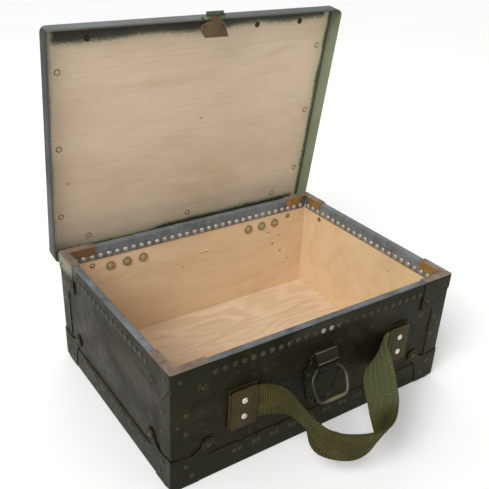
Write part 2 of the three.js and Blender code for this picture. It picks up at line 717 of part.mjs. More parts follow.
// The tongue, drawn hanging from its knuckle, with the knuckle's axis at the origin. It was
// cut by hand: its left ear is wider than its right, and its lower left corner is clipped.
function haspTongue() {
  const neck = [TONGUE_LEFT + GAP, TONGUE_RIGHT - GAP];
  const drawn = [
    [neck[0], 0], [neck[0], -3.6], [-10, -4.5], [-20.5, -8.5], [-22, -13], [-21, -18], [-16.5, -24.5],
    [19.5, -25], [17, -14], [15, -6], [neck[1], -3.6], [neck[1], 0],
  ];
  const parts = [
    bar([TONGUE_LEFT, 0, 0], [TONGUE_RIGHT, 0, 0], HASP_RADIUS),
    plateXZ(drawn, -0.9, 1.2),
    ...[-17, 11.5].map((x) => head([x, -2.1, -10.5], [0, -1, 0], 2.4, 0.8, 8)),
  ];
  const bore = bar([-20, 0, 0], [20, 0, 0], 1.3, 10);
  return mesh('hasp_tongue', cut(join(parts), [bore]), 'haspSteel');
}

// Assembly -----------------------------------------------------------------------------------

const footlocker = new THREE.Group();

const box = new THREE.Group();
box.add(
  floorPanel(),
  ...walls(),
  fibreSkin(),
  ...rails(),
  ...corners(),
  ...bottomStrips(),
  lowerLeaf('left'),
  lowerLeaf('right'),
  hingePin('left'),
  hingePin('right'),
  ...boltPositions().map(hingeBolt),
  latchBasePlate(),
  latchClip(),
  latchBail(),
  webbingHandle(),
  ...handlePlates(),
  ...rivetSpots().map(handleRivet),
);
footlocker.add(box);

// The lid is drawn shut, about the hinge pins, and then turned open
const lidTurn = new THREE.Group();
lidTurn.position.set(0, HINGE_Y, HINGE_Z);
lidTurn.rotation.x = -THREE.MathUtils.degToRad(OPEN_DEGREES);
const lid = new THREE.Group();
lid.position.set(0, -HINGE_Y, -HINGE_Z);
lid.add(lidShell(), lidPanel(), haspLeaf(), haspPin(), upperLeaf('left'), upperLeaf('right'));
lidTurn.add(lid);
footlocker.add(lidTurn);

// The hasp's tongue hangs from its knuckle, tipped a little forward, wherever the lid is
const tongue = haspTongue();
tongue.rotation.x = -THREE.MathUtils.degToRad(TONGUE_REST);
const knuckleShut = new THREE.Vector3(0, HASP_Y - HINGE_Y, HASP_Z - HINGE_Z);
const knuckleOpen = knuckleShut.applyAxisAngle(X_AXIS, lidTurn.rotation.x);
tongue.position.set(0, HINGE_Y + knuckleOpen.y, HINGE_Z + knuckleOpen.z);
footlocker.add(tongue);

export default footlocker;
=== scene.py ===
"""Footlocker: the looks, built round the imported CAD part. Lengths in the builders are in mm."""

import random
from math import cos, pi, radians, sin, sqrt, tau

import bmesh
import bpy
from mathutils import Matrix, Vector


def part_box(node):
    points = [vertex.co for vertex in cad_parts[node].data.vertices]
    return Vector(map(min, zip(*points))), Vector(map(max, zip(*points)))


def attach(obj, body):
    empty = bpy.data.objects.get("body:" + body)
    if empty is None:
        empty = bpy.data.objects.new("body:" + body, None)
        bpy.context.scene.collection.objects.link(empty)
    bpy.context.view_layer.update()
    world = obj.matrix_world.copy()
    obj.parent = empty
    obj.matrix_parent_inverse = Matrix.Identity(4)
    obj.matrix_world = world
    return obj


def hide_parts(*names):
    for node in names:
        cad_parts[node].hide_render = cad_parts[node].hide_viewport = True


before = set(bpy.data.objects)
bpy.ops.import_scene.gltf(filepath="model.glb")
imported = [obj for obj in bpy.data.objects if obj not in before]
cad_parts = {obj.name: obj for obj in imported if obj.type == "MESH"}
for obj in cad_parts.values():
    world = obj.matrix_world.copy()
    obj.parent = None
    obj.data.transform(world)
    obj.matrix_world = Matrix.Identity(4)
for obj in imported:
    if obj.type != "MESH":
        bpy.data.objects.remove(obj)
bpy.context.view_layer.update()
random.seed(7)

MM = 0.001
HALF_X, HALF_Y = 225, 165
RIM = 175.9
STEEL = 0.8
TRIM = 1.1
LINER_OUT, LINER_IN = 10, 10.8
RAIL_LOW = 154
PITCH = 13.2
RIVET_Z = 159.5
FOLD = 2.4
FOOT = 5

HINGE = Vector((0, 168.45, 152.4))
OPEN = radians(81.5)
LID_X, LID_Y = 227.6, 167.6
LID_RIM, LID_TOP = 157, 182.9
LID_SHEET = 0.9

SIDES = (("left", -1), ("right", 1))
ENDS = (("front", -1), ("back", 1))


PIVOT = Matrix.Translation(HINGE)
# Takes the lid as it is drawn, shut, to where it stands open
LID = PIVOT @ Matrix.Rotation(-OPEN, 4, "X") @ PIVOT.inverted()


def add_object(name, data):
    made = bpy.data.objects.new(name, data)
    bpy.context.scene.collection.objects.link(made)
    return made


# Materials ------------------------------------------------------------------------------

def rgb(code, gain=1):
    """A linear colour from a hex code."""
    out = []
    for i in (0, 2, 4):
        c = int(code[i:i + 2], 16) / 255
        c = c / 12.92 if c <= 0.04045 else ((c + 0.055) / 1.055) ** 2.4
        out.append(min(1, c * gain))
    return (*out, 1)


class Graph:
    """A material and short ways of adding nodes to it."""

    def __init__(self, name, **sockets):
        self.material = bpy.data.materials.new(name)
        self.material.use_nodes = True
        self.tree = self.material.node_tree
        self.tree.nodes.clear()
        self.shader = self.tree.nodes.new("ShaderNodeBsdfPrincipled")
        output = self.tree.nodes.new("ShaderNodeOutputMaterial")
        self.tree.links.new(self.shader.outputs[0], output.inputs[0])
        self.base = None
        for socket, value in sockets.items():
            self.shader.inputs[socket.replace("_", " ")].default_value = value

    def add(self, kind, inputs=None, **settings):
        """A new node. Its inputs are sockets to link, numbers, or colours as hex codes."""
        made = self.tree.nodes.new("ShaderNode" + kind)
        for key, value in settings.items():
            setattr(made, key, value)
        for key, value in (inputs or {}).items():
            if isinstance(value, bpy.types.NodeSocket):
                self.tree.links.new(value, made.inputs[key])
            else:
                made.inputs[key].default_value = rgb(value) if isinstance(value, str) else value
        return made

    def place(self, stretch=(1, 1, 1), turn=(0, 0, 0), uv=None, shift=(0, 0, 0)):
        if uv:
            source = self.add("UVMap", uv_map=uv).outputs["UV"]
        else:
            source = self.add("TexCoord").outputs["Object"]
        inputs = {"Vector": source, "Scale": stretch, "Rotation": turn, "Location": shift}
        return self.add("Mapping", inputs).outputs[0]

    def lid_place(self):
        """Metres in the lid as it is drawn, shut."""
        turn = Matrix.Rotation(OPEN, 3, "X")
        return self.place(turn=(OPEN, 0, 0), shift=tuple((HINGE - turn @ HINGE) * MM))

    def noise(self, at, scale, detail=4, rough=0.55, distortion=0):
        inputs = {"Vector": at, "Scale": scale, "Detail": detail, "Roughness": rough,
                  "Distortion": distortion}
        return self.add("TexNoise", inputs).outputs[0]

    def grain(self, stretch, detail, rough, distortion=0, turn=(0, 0, 0), uv=None):
        """Noise stretched along each axis."""
        return self.noise(self.place(stretch, turn, uv), 1, detail, rough, distortion)

    def cells(self, at, scale):
        return self.add("TexVoronoi", {"Vector": at, "Scale": scale}).outputs["Distance"]

    def span(self, value, low, high, to_low=0, to_high=1):
        inputs = {0: value, 1: low, 2: high, 3: to_low, 4: to_high}
        return self.add("MapRange", inputs, interpolation_type="SMOOTHSTEP").outputs[0]

    def start(self, value, *stops):
        """Sets the base colour to a ramp of (position, colour) stops."""
        made = self.add("ValToRGB", {0: value})
        elements = made.color_ramp.elements
        while len(elements) < len(stops):
            elements.new(0.5)
        for element, (position, colour) in zip(elements, stops):
            element.position = position
            element.color = rgb(colour) if isinstance(colour, str) else colour
        self.base = made.outputs[0]

    def cover(self, factor, colour):
        """Mixes a colour into the base."""
        made = self.add("Mix", {0: factor, 6: self.base, 7: colour}, data_type="RGBA")
        self.base = made.outputs[2]

    def over(self, colour, value, low, high, depth):
        """Lays a colour over the base where the value passes from low to high."""
        self.cover(self.span(value, low, high, 0, depth), colour)

    def stains(self, marks, edge=0.25):
        for centre, size, colour, depth in marks:
            self.cover(self.mul(self.spot(centre, size, edge), depth), colour)

    def math(self, operation, *values):
        return self.add("Math", dict(enumerate(values)), operation=operation).outputs[0]

    def mul(self, a, b):
        return self.math("MULTIPLY", a, b)

    def plus(self, a, b):
        return self.math("ADD", a, b)

    def minus(self, a, b):
        return self.math("SUBTRACT", a, b)

    def split(self, vector):
        return self.add("SeparateXYZ", {0: vector}).outputs

    def bump(self, height, strength, distance, under=None):
        inputs = {"Height": height, "Strength": strength, "Distance": distance}
        if under is not None:
            inputs["Normal"] = under
        return self.add("Bump", inputs).outputs[0]

    def spot(self, centre, size, edge=0.25):
        """1 inside an ellipsoid and 0 outside, in the row frame's metres."""
        stretch = tuple(1 / s for s in size)
        shift = tuple(-c / s for c, s in zip(centre, size))
        length = self.add("VectorMath", {0: self.place(stretch, shift=shift)}, operation="LENGTH")
        return self.span(length.outputs["Value"], 1 - edge, 1 + edge, 1, 0)

    def edges(self, radius):
        """1 along worn convex edges and 0 on the flats."""
        soft = self.add("Bevel", {"Radius": radius}, samples=6).outputs[0]
        sharp = self.add("NewGeometry").outputs["Normal"]
        dot = self.add("VectorMath", {0: soft, 1: sharp}, operation="DOT_PRODUCT").outputs["Value"]
        return self.span(dot, 0.995, 0.9, 0, 1)

    def wire(self, roughness, normal=None, metallic=None):
        for socket, value in (("Base Color", self.base), ("Roughness", roughness),
                              ("Normal", normal), ("Metallic", metallic)):
            if value is not None:
                self.tree.links.new(value, self.shader.inputs[socket])
        return self.material


OLIVE_TINT = (0.8, 0.73, 0.5, 1)


def plywood(name, light, dark, grain="X", figure=0.14, marks=()):
    """Bare rotary-cut birch: faint figure, fine fibres, short pores and a few dark specks."""
    g = Graph(name, Specular_IOR_Level=0.3)
    lid = name == "ply_lid"
    turn = (OPEN, 0, 0) if lid else (0, 0, pi / 2 if grain == "Y" else 0)
    broad = g.noise(g.place((1.6, 7, 7), turn), 3, 3, 0.5, 1.2)
    hills = g.noise(g.place((1.5, 5, 5), turn), 2.2, 2, 0.45, 0.6)
    rings = g.span(g.math("PINGPONG", g.mul(hills, 15), 0.5), 0.12, 0.46)
    cloud = g.grain((9, 14, 14), 4, 0.6, turn=turn)
    fibre = g.grain((14, 420, 420), 3, 0.7, turn=turn)
    pores = g.grain((70, 900, 900), 2, 0.6, turn=turn)
    tone = g.plus(g.mul(rings, figure), g.mul(broad, 1 - figure))
    g.start(tone, (0.15, dark), (0.5, rgb(light, 0.97)), (0.85, rgb(light, 1.04)))
    g.over(rgb(dark, 0.96), cloud, 0.42, 0.72, 0.35)
    g.over(rgb(dark, 0.8), fibre, 0.35, 0.75, 0.22)
    g.over("7a5a38", pores, 0.66, 0.74, 0.4)
    specks = g.cells(g.place((16, 26, 26), turn), 1)
    g.over("4a3423", specks, 0.045, 0.02, 0.7)
    height = g.minus(g.mul(fibre, 0.6), g.span(pores, 0.62, 0.74))
    normal = g.bump(height, 0.25, 0.0004)
    g.stains(marks)
    if lid:
        lid_overspray_and_shade(g)
    return g.wire(g.span(broad, 0.2, 0.8, 0.62, 0.78), normal)


def lid_overspray_and_shade(g):
    """Paint that ran over the lid panel's edges, with painted shade: along the front a nearly black band,
    painted shadow of the pan's front wall over dark overspray; dark painted shade in the joints at the
    hinges and the right wall; green overspray elsewhere.
    """
    at = g.lid_place()
    x, y, _ = g.split(at)
    rough = g.minus(g.noise(at, 520, 5, 0.8), 0.5)
    slow = g.minus(g.noise(at, 14, 3, 0.5), 0.5)
    ragged = g.plus(g.mul(rough, 0.02), g.mul(slow, 0.012))
    front = g.plus(g.plus(y, 0.1642), g.mul(x, 0.017))
    # The shadowed joint along the hinges opens up towards the right
    hinge_edge = g.minus(0.167, y)
    hinge_edge = g.minus(hinge_edge, g.span(x, -0.1, 0.02, 0, 0.0045))
    # The front's dark bands are painted shadow over dark overspray; the darkest bands along the hinges and
    # the right edge are painted shade in the joints
    edges = (
        (front, ((0.026, 0.018, "a8a488", 0.6), (0.0185, 0.015, "5a6150", 0.85),
                 (0.015, 0.0115, "33302a", 0.95), (0.0085, 0.005, "2c2a20", 0.97))),
        (hinge_edge, ((0.02, 0.004, "b3ae93", 0.6), (0.0085, 0.0055, "7f886a", 0.7),
                      (0.005, 0.0035, "23271c", 0.9))),
        (g.minus(0.2242, x), ((0.017, 0.01, "b7b799", 0.75), (0.0065, 0.0045, "3b4231", 0.9))),
        (g.plus(0.2242, x), ((0.013, 0.005, "b4ae90", 0.7), (0.0075, 0.0045, "7d8468", 0.8))),
    )
    for inset, bands in edges:
        inset = g.plus(inset, ragged)
        for start, full, colour, depth in bands:
            g.over(colour, inset, start, full, depth)


def worn_paint(name, paint, under, shade=None, wear=0.5, edge=0.0008, gloss=(0.38, 0.62),
               grit=0.5, dust="4c4a3c", shine=0.35, tint=(1, 1, 1, 1), marks=()):
    """Brushed-on paint over steel: mottled, gritty, scuffed, and rubbed through along edges."""
    g = Graph(name, Specular_IOR_Level=shine, Specular_Tint=tint)
    at = g.place()
    mottle = g.noise(at, 24, 5, 0.65, 0.4)
    dents = g.noise(at, 120, 3, 0.55, 0.3)
    fine = g.noise(at, 520, 4, 0.65)
    scuff = g.grain((30, 260, 90), 5, 0.75, turn=(0.4, 0.3, 0.7))
    cloud = g.noise(at, 6.5, 3, 0.5)
    g.start(mottle, (0.25, rgb(shade or paint, 0.6)), (0.55, paint), (0.85, rgb(paint, 1.5)))
    g.over(rgb(paint, 1.9), dents, 0.52, 0.75, 0.5)
    g.over(rgb(dust, 0.8), cloud, 0.42, 0.72, 0.4)
    g.over(rgb(dust, 1.3), scuff, 0.6, 0.78, 0.5)
    ragged = g.mul(g.span(g.noise(at, 130, 5, 0.7), 0.3, 0.7), 1.5)
    rub = g.mul(g.mul(g.edges(edge), ragged), wear)
    rub = g.span(rub, 0.12, 0.5)
    chips = g.span(g.noise(at, 75, 6, 0.75), 0.69, 0.735, 0, wear)
    bare = g.math("MAXIMUM", rub, chips)
    g.cover(bare, under)
    g.stains(marks, 0.5)
    rough = g.plus(g.span(mottle, 0.2, 0.8, gloss[0], gloss[1]),
                   g.span(fine, 0.3, 0.7, -0.08, 0.08))
    low = g.bump(g.minus(dents, g.mul(bare, 0.6)), 0.5 * grit, 0.0012)
    normal = g.bump(fine, 0.45 * grit, 0.00035, low)
    return g.wire(rough, normal, g.mul(bare, 0.55))


FIBRE_MARKS = (
    ((-0.2222, 0.055, 0.095), (0.01, 0.075, 0.024), "241e19", 0.6),
    ((-0.2222, -0.07, 0.115), (0.01, 0.06, 0.02), "45403a", 0.45),
)


def fibre_board():
    """Painted vulcanised fibre: near black, leathery, with long scuffs and rubbed patches."""
    g = Graph("fibre_board", Specular_IOR_Level=0.13, Specular_Tint=OLIVE_TINT)
    at = g.place()
    mottle = g.noise(at, 15, 6, 0.66, 0.6)
    dents = g.noise(at, 85, 4, 0.6, 0.5)
    leather = g.cells(at, 260)
    fine = g.noise(at, 900, 3, 0.6)
    cloud = g.grain((5, 7, 11), 4, 0.6, 0.4)
    scratch = g.grain((14, 14, 420), 3, 0.7, turn=(0.12, 0.1, 0))
    g.start(mottle, (0.3, "0d0d05"), (0.5, "161409"), (0.72, "28261a"))
    g.over("29271b", cloud, 0.46, 0.7, 0.45)
    g.over("423e2d", dents, 0.56, 0.72, 0.5)
    g.over("514c38", scratch, 0.62, 0.76, 0.5)
    g.over("0b0a06", g.noise(at, 95, 6, 0.8), 0.6, 0.68, 0.8)
    g.stains(FIBRE_MARKS, 0.6)
    height = g.plus(g.mul(leather, 0.8), g.mul(fine, 0.5))
    low = g.bump(g.plus(mottle, g.mul(dents, 0.6)), 0.7, 0.003)
    normal = g.bump(height, 0.4, 0.0005, low)
    return g.wire(g.span(cloud, 0.3, 0.7, 0.36, 0.6), normal)


def cap_top_paint():
    """Rim paint rubbed down to brown primer and stained steel."""
    g = Graph("cap_worn")
    at = g.place()
    blotch = g.noise(at, 55, 5, 0.65, 0.5)
    fine = g.noise(at, 500, 3, 0.6)
    g.start(blotch, (0.28, "574437"), (0.5, "786659"), (0.64, "8a7e72"), (0.8, "929a94"))
    worn = g.edges(0.0009)
    g.cover(g.mul(worn, 0.5), "a09a8c")
    normal = g.bump(g.plus(blotch, g.mul(fine, 0.3)), 0.25, 0.0005)
    metal = g.span(blotch, 0.5, 0.8, 0.1, 0.45)
    return g.wire(g.span(blotch, 0.3, 0.7, 0.5, 0.38), normal, metal)


def amber_varnish():
    """The caps' inner tabs, with old yellow varnish over bare steel."""
    g = Graph("amber_varnish", Coat_Weight=0.3, Coat_Roughness=0.25)
    at = g.place()
    blotch = g.noise(at, 60, 4, 0.6)
    g.start(blotch, (0.3, "73522a"), (0.55, "957238"), (0.8, "b0904e"))
    g.over("4a3a28", g.noise(at, 190, 4, 0.7), 0.62, 0.72, 0.7)
    rusty = g.spot((-0.19, 0.153, 0.17), (0.05, 0.03, 0.03))
    g.cover(g.mul(rusty, 0.8), "6f5039")
    normal = g.bump(blotch, 0.2, 0.0004)
    return g.wire(g.span(blotch, 0.3, 0.7, 0.5, 0.34), normal, g.span(blotch, 0.3, 0.7, 0.15, 0.4))


def rivet_steel(name, light, dark, rough=(0.32, 0.5), metal=(0.85, 0.6)):
    """Soft rivet metal: dull, dimpled, dark in its hollows."""
    g = Graph(name)
    at = g.place()
    spots = g.noise(at, 480, 4, 0.6)
    batch = g.noise(at, 70, 2, 0.5)
    g.start(spots, (0.28, dark), (0.5, rgb(light, 0.85)), (0.75, light))
    g.over(rgb(dark, 1.2), batch, 0.52, 0.7, 0.55)
    normal = g.bump(spots, 0.3, 0.0003)
    return g.wire(g.span(spots, 0.3, 0.7, rough[1], rough[0]), normal,
                  g.span(batch, 0.3, 0.7, *metal))


def lid_green(name, light, dark, edge_wear=0.5, shine=0.35, side_shade=None):
    """Satin grey-green spray paint, a little dusty, with orange peel and rubbed folds."""
    g = Graph(name, Specular_IOR_Level=shine)
    at = g.place()
    broad = g.noise(at, 9, 5, 0.6, 0.3)
    streak = g.grain((10, 60, 5), 4, 0.6, 0.5)
    peel = g.noise(at, 260, 2, 0.5)
    scuff = g.grain((14, 320, 320), 4, 0.75, turn=(0, 0, 0.15))
    g.start(broad, (0.28, dark), (0.56, rgb(light, 0.92)), (0.82, rgb(light, 1.12)))
    g.over(rgb(light, 1.35), streak, 0.5, 0.75, 0.3)
    g.over(rgb(dark, 0.5), scuff, 0.62, 0.76, 0.5)
    fine = g.noise(at, 420, 5, 0.75)
    g.over(rgb(light, 1.5), fine, 0.5, 0.72, 0.35)
    g.over(rgb(dark, 0.7), fine, 0.46, 0.3, 0.4)
    for turn, stretch in (((0, 0, 0.5), (7, 700, 60)), ((0, 0.4, -0.3), (9, 60, 620))):
        line = g.noise(g.place(stretch, turn), 1, 2, 0.6)
        g.over(rgb(light, 1.9), line, 0.7, 0.78, 0.55)
    g.over("3b352a", g.noise(at, 70, 6, 0.75), 0.66, 0.7, 0.8)
    worn = g.mul(g.edges(0.0012), g.span(g.noise(at, 150, 4, 0.7), 0.35, 0.6))
    g.cover(g.mul(worn, edge_wear), "4a4335")
    # Painted shade: darkens the pan's left outer wall
    if side_shade:
        x = g.split(at)[0]
        g.over(side_shade, x, -0.2238, -0.2262, 0.93)
    normal = g.bump(peel, 0.2, 0.0005, g.bump(broad, 0.2, 0.002))
    return g.wire(g.span(broad, 0.3, 0.7, 0.38, 0.55), normal)


LIT_LEG_FROM = 0.245


def webbing_cloth():
    """Olive cotton webbing: picks across the strip and warp cords along it, with painted shade in the
    valleys between them and painted highlights on the high spots of the leg that faces the light.
    """
    g = Graph("webbing_cloth", Sheen_Weight=0.06, Sheen_Roughness=0.45,
              Specular_IOR_Level=0.2)
    g.shader.inputs["Sheen Tint"].default_value = rgb("a3a468")
    u, v, _ = g.split(g.place(uv="strap"))
    # Picks 3.3 mm apart, slanting one way and then the other: herringbone on the lit leg
    zig = g.math("PINGPONG", g.plus(v, 1), 0.0125)
    lit_leg = g.span(u, LIT_LEG_FROM, LIT_LEG_FROM + 0.03)
    slant = g.plus(u, g.mul(zig, g.span(lit_leg, 0, 1, 0.16, 0.42)))
    picks = g.math("SINE", g.mul(slant, tau / 0.0033))
    cords = g.math("SINE", g.mul(v, tau / 0.0021))
    fuzz = g.grain((1400, 2600, 1), 4, 0.7, uv="strap")
    fleck = g.grain((420, 640, 1), 3, 0.6, uv="strap")
    fade = g.grain((26, 40, 1), 4, 0.6, uv="strap")
    g.start(fade, (0.28, "302b0d"), (0.52, "403b12"), (0.78, "514e20"))
    # Painted highlight: the leg that faces the light is painted lighter, in grey green
    g.cover(g.mul(lit_leg, 0.75), "5f6443")
    # Painted shade in the valleys between the picks and between the cords
    g.cover(g.span(picks, -1, 0.4, 0.58, 0), "12120a")
    g.cover(g.span(cords, -1, -0.2, 0.3, 0), "1c1c0d")
    # Painted glints: pale flecks on the tops of the picks, most of them on the lit leg
    light = g.mul(g.span(fleck, 0.55, 0.68), g.span(lit_leg, 0, 1, 0.25, 0.85))
    g.cover(g.mul(light, g.span(picks, 0.1, 0.9)), "9a9c7c")
    height = g.plus(g.mul(picks, 0.8), g.mul(cords, 0.3))
    height = g.plus(height, g.mul(fuzz, 0.8))
    normal = g.bump(height, 0.65, 0.0004)
    return g.wire(g.span(fuzz, 0.3, 0.7, 0.78, 0.92), normal)


def old_leather(name, light, dark):
    """Painted leather washers and plates: fine creases, greasy high spots."""
    g = Graph(name, Specular_IOR_Level=0.24, Specular_Tint=OLIVE_TINT)
    at = g.place()
    grain = g.cells(at, 620)
    crease = g.grain((90, 90, 260), 5, 0.7)
    broad = g.noise(at, 40, 4, 0.6)
    g.start(broad, (0.28, dark), (0.55, rgb(light, 0.9)), (0.8, light))
    g.over(rgb(dark, 0.7), crease, 0.58, 0.72, 0.6)
    g.cover(g.mul(g.edges(0.001), 0.45), rgb(light, 1.35))
    low = g.bump(crease, 0.3, 0.0006)
    normal = g.bump(grain, 0.3, 0.0003, low)
    return g.wire(g.span(broad, 0.3, 0.7, 0.5, 0.66), normal)


def floor_paper():
    g = Graph("floor_paper")
    tone = g.noise(g.place(), 3, 2, 0.5)
    g.start(tone, (0.3, (0.94, 0.94, 0.94, 1)), (0.7, (0.96, 0.96, 0.96, 1)))
    return g.wire(g.span(tone, 0.3, 0.7, 0.85, 0.9))


WALL_MARKS = (
    ((0.15, 0.155, 0.098), (0.0022, 0.01, 0.0016), "5a3d25", 0.85),
    ((0.162, 0.155, 0.112), (0.0016, 0.01, 0.0016), "5a3d25", 0.85),
    ((0.168, 0.155, 0.08), (0.0016, 0.01, 0.0028), "6b4a2e", 0.8),
    ((0.14, 0.155, 0.122), (0.0035, 0.01, 0.0012), "7a5637", 0.7),
    ((0.185, 0.155, 0.06), (0.0014, 0.01, 0.0014), "5a3d25", 0.8),
    ((0.01, 0.155, 0.12), (0.012, 0.01, 0.001), "e6cfa4", 0.8),
    ((0.012, 0.155, 0.1175), (0.011, 0.01, 0.0008), "7a5a3a", 0.6),
)
FLOOR_MARKS = (
    ((-0.178, -0.118, 0.008), (0.0009, 0.02, 0.01), "4a3220", 0.85),
    ((0.05, -0.05, 0.008), (0.004, 0.001, 0.01), "7a5a3a", 0.6),
    ((-0.06, 0.06, 0.008), (0.0012, 0.0012, 0.01), "6a4a2c", 0.8),
    ((0.12, 0.03, 0.008), (0.0012, 0.0012, 0.01), "6a4a2c", 0.7),
)

# Where the paint is rubbed bright or was brushed over in green
PAINT_MARKS = (
    ((-0.225, 0.142, 0.171), (0.006, 0.032, 0.015), "797c68", 0.85),
    ((-0.01, -0.165, 0.165), (0.045, 0.012, 0.009), "3c3a30", 0.5),
)
# Painted light on the rail rivets: a painted highlight on the front's middle rivets and a fainter one to
# their left, painted shade on the front's rivets to the right, and the left rail's rivets darkened
RIVET_LIGHT_AND_SHADE = (
    ((0.000, -0.166, 0.1595), (0.015, 0.012, 0.006), "99958a", 0.8),
    ((-0.08, -0.166, 0.1595), (0.04, 0.012, 0.006), "4a4839", 0.4),
    ((0.11, -0.166, 0.1595), (0.085, 0.012, 0.008), "1a1911", 0.85),
    ((-0.226, 0, 0.1595), (0.01, 0.14, 0.008), "1a1912", 0.6),
)

# Painted light on the ring: a painted highlight along its lower bar and lower right side, and painted
# shade near its pivot under the hood
WIRE_LIGHT_AND_SHADE = (
    ((0.004, -0.1912, 0.0686), (0.02, 0.008, 0.006), "77734f", 0.75),
    ((0.027, -0.184, 0.08), (0.006, 0.012, 0.012), "6a664a", 0.6),
    ((0, -0.171, 0.103), (0.035, 0.012, 0.012), "1c1b13", 0.8),
)

PLY_LONG = plywood("ply_long", "e3c8a5", "d2b28b", figure=0.09, marks=WALL_MARKS)
PLY_SHORT = plywood("ply_short", "dabf99", "c9a97f", grain="Y", figure=0.06)
PLY_FLOOR = plywood("ply_floor", "d9c2a6", "c3a582", figure=0.22, marks=FLOOR_MARKS)
PLY_LID = plywood("ply_lid", "cfbba3", "bfa68b", figure=0.1)
FIBRE = fibre_board()
DARK = worn_paint("dark_paint", "17170b", "59543f", shade="101007", wear=0.6, dust="34321f", shine=0.13,
                  tint=OLIVE_TINT, gloss=(0.34, 0.58), grit=0.8, marks=PAINT_MARKS)
DARK_RIVET = worn_paint("dark_rivet_paint", "1e1e12", "77745f", shade="14140b", wear=0.5, edge=0.0006,
                        shine=0.36, gloss=(0.28, 0.45), dust="383724", tint=OLIVE_TINT, marks=RIVET_LIGHT_AND_SHADE)
RAIL = worn_paint("rail_paint", "686e72", "8d8c84", shade="525658", wear=0.5, dust="605e5a",
                  grit=0.4)
BEAD = worn_paint("rail_bead", "5e666a", "8e9490", shade="454c50", wear=0.6, dust="565a58",
                  grit=0.4)
CAP_TOP = cap_top_paint()
AMBER = amber_varnish()
LIGHT_RIVET = rivet_steel("light_rivet", "d8d3c6", "8d8678")
DULL_DISC = rivet_steel("dull_disc", "b0a080", "75654c", (0.4, 0.6), (0.35, 0.15))
DISC_RIM = rivet_steel("disc_rim", "6d5b40", "3c2f1e", (0.5, 0.7), (0.2, 0.1))
BOLT_RIM = rivet_steel("bolt_rim", "a28e6c", "6b5b42", (0.5, 0.7), (0.2, 0.1))
DULL_HEAD = rivet_steel("dull_head", "c2b491", "8f8060", (0.35, 0.5), (0.4, 0.2))
EYELET = rivet_steel("eyelet", "d6c6a4", "a8967a", (0.4, 0.55), (0.15, 0.05))
BRIGHT = rivet_steel("bright_rivet", "dddad0", "85807a", (0.22, 0.42))
BRASS = rivet_steel("brass_screw", "b98f4a", "6e5227", (0.3, 0.5))
LID_OUT = lid_green("lid_outside", "4c534f", "353b3a", side_shade="17181a")
LID_IN = lid_green("lid_inside", "87927a", "6f7b63", 0.8)
LID_EDGE = worn_paint("lid_rim_edge", "3a3329", "6f6857", wear=0.6, dust="4a4236")
HASP_GREEN = worn_paint("hasp_green", "4b5645", "6f705a", shade="3a4437", wear=0.5, dust="555c4b")
PRIMER = worn_paint("brown_primer", "533f28", "78684c", shade="473a27", wear=0.5, dust="66563b")
CLIP = worn_paint("clip_paint", "1b1810", "5f5848", shade="120f09", wear=0.7, dust="332a20", shine=0.2,
                  tint=OLIVE_TINT, grit=0.8)
LIP = worn_paint("clip_lip", "4a463a", "8c8778", shade="2c2920", wear=0.8, dust="57513f", shine=0.5)
WIRE = worn_paint("bail_wire", "2f2d1f", "87826c", shade="1d1c13", wear=0.7, edge=0.0012, dust="5a5640",
                  shine=0.6, marks=WIRE_LIGHT_AND_SHADE)
CLOTH = webbing_cloth()
PLATE = old_leather("handle_plate_hide", "3b3118", "221c0d")
PAD = old_leather("handle_pad_hide", "2e2616", "19140c")


# Solids in mm ---------------------------------------------------------------------------

def skin(bm, rings, slot, cap_first=True, cap_last=True):
    """Joins closed rings of the same number of points into a skin."""
    made = [[bm.verts.new(p) for p in ring] for ring in rings]
    count = len(made[0])
    for low, high in zip(made, made[1:]):
        for i in range(count):
            j = (i + 1) % count
            bm.faces.new((low[i], low[j], high[j], high[i])).material_index = slot
    if cap_first:
        bm.faces.new(reversed(made[0])).material_index = slot
    if cap_last:
        bm.faces.new(made[-1]).material_index = slot
    return made


def arc(x, y, radius, start, end, steps):
    """Points round part of a circle, from one angle to another in degrees."""
    angles = [radians(start + (end - start) * k / steps) for k in range(steps + 1)]
    return [(x + radius * cos(a), y + radius * sin(a)) for a in angles]


def lathe(bm, at, normal, profile, slot=0, segments=16):
    """Turns (radius, height) pairs round a normal; the first and last are closed."""
    n = Vector(normal).normalized()
    u = n.orthogonal().normalized()
    v = n.cross(u)
    at = Vector(at)
    rings = []
    for radius, height in profile:
        ring = []
        for i in range(segments):
            a = tau * i / segments
            ring.append(at + n * height + (u * cos(a) + v * sin(a)) * max(radius, 0.02))
        rings.append(ring)
    skin(bm, rings, slot)


def dome(bm, at, normal, radius, height, slot=0, segments=14):
    """A hammered rivet head: a short collar and a flattened dome."""
    radius *= random.uniform(0.97, 1.03)
    profile = [(radius, -0.4), (radius, 0.12 * height)]
    for k in (20, 40, 60, 78):
        a = radians(k)
        profile.append((radius * cos(a) ** 0.85, height * (0.12 + 0.88 * sin(a))))
    jitter = Vector([random.uniform(-0.03, 0.03) for _ in range(3)])
    lathe(bm, at, Vector(normal) + jitter, profile, slot, segments)


def box(bm, low, high):
    """A plain block, whose edges the piece's bevel softens."""
    (x0, x1), (y0, y1), (z0, z1) = (sorted(pair) for pair in zip(low, high))
    rings = [[(x0, y0, z), (x1, y0, z), (x1, y1, z), (x0, y1, z)] for z in (z0, z1)]
    skin(bm, rings, 0)


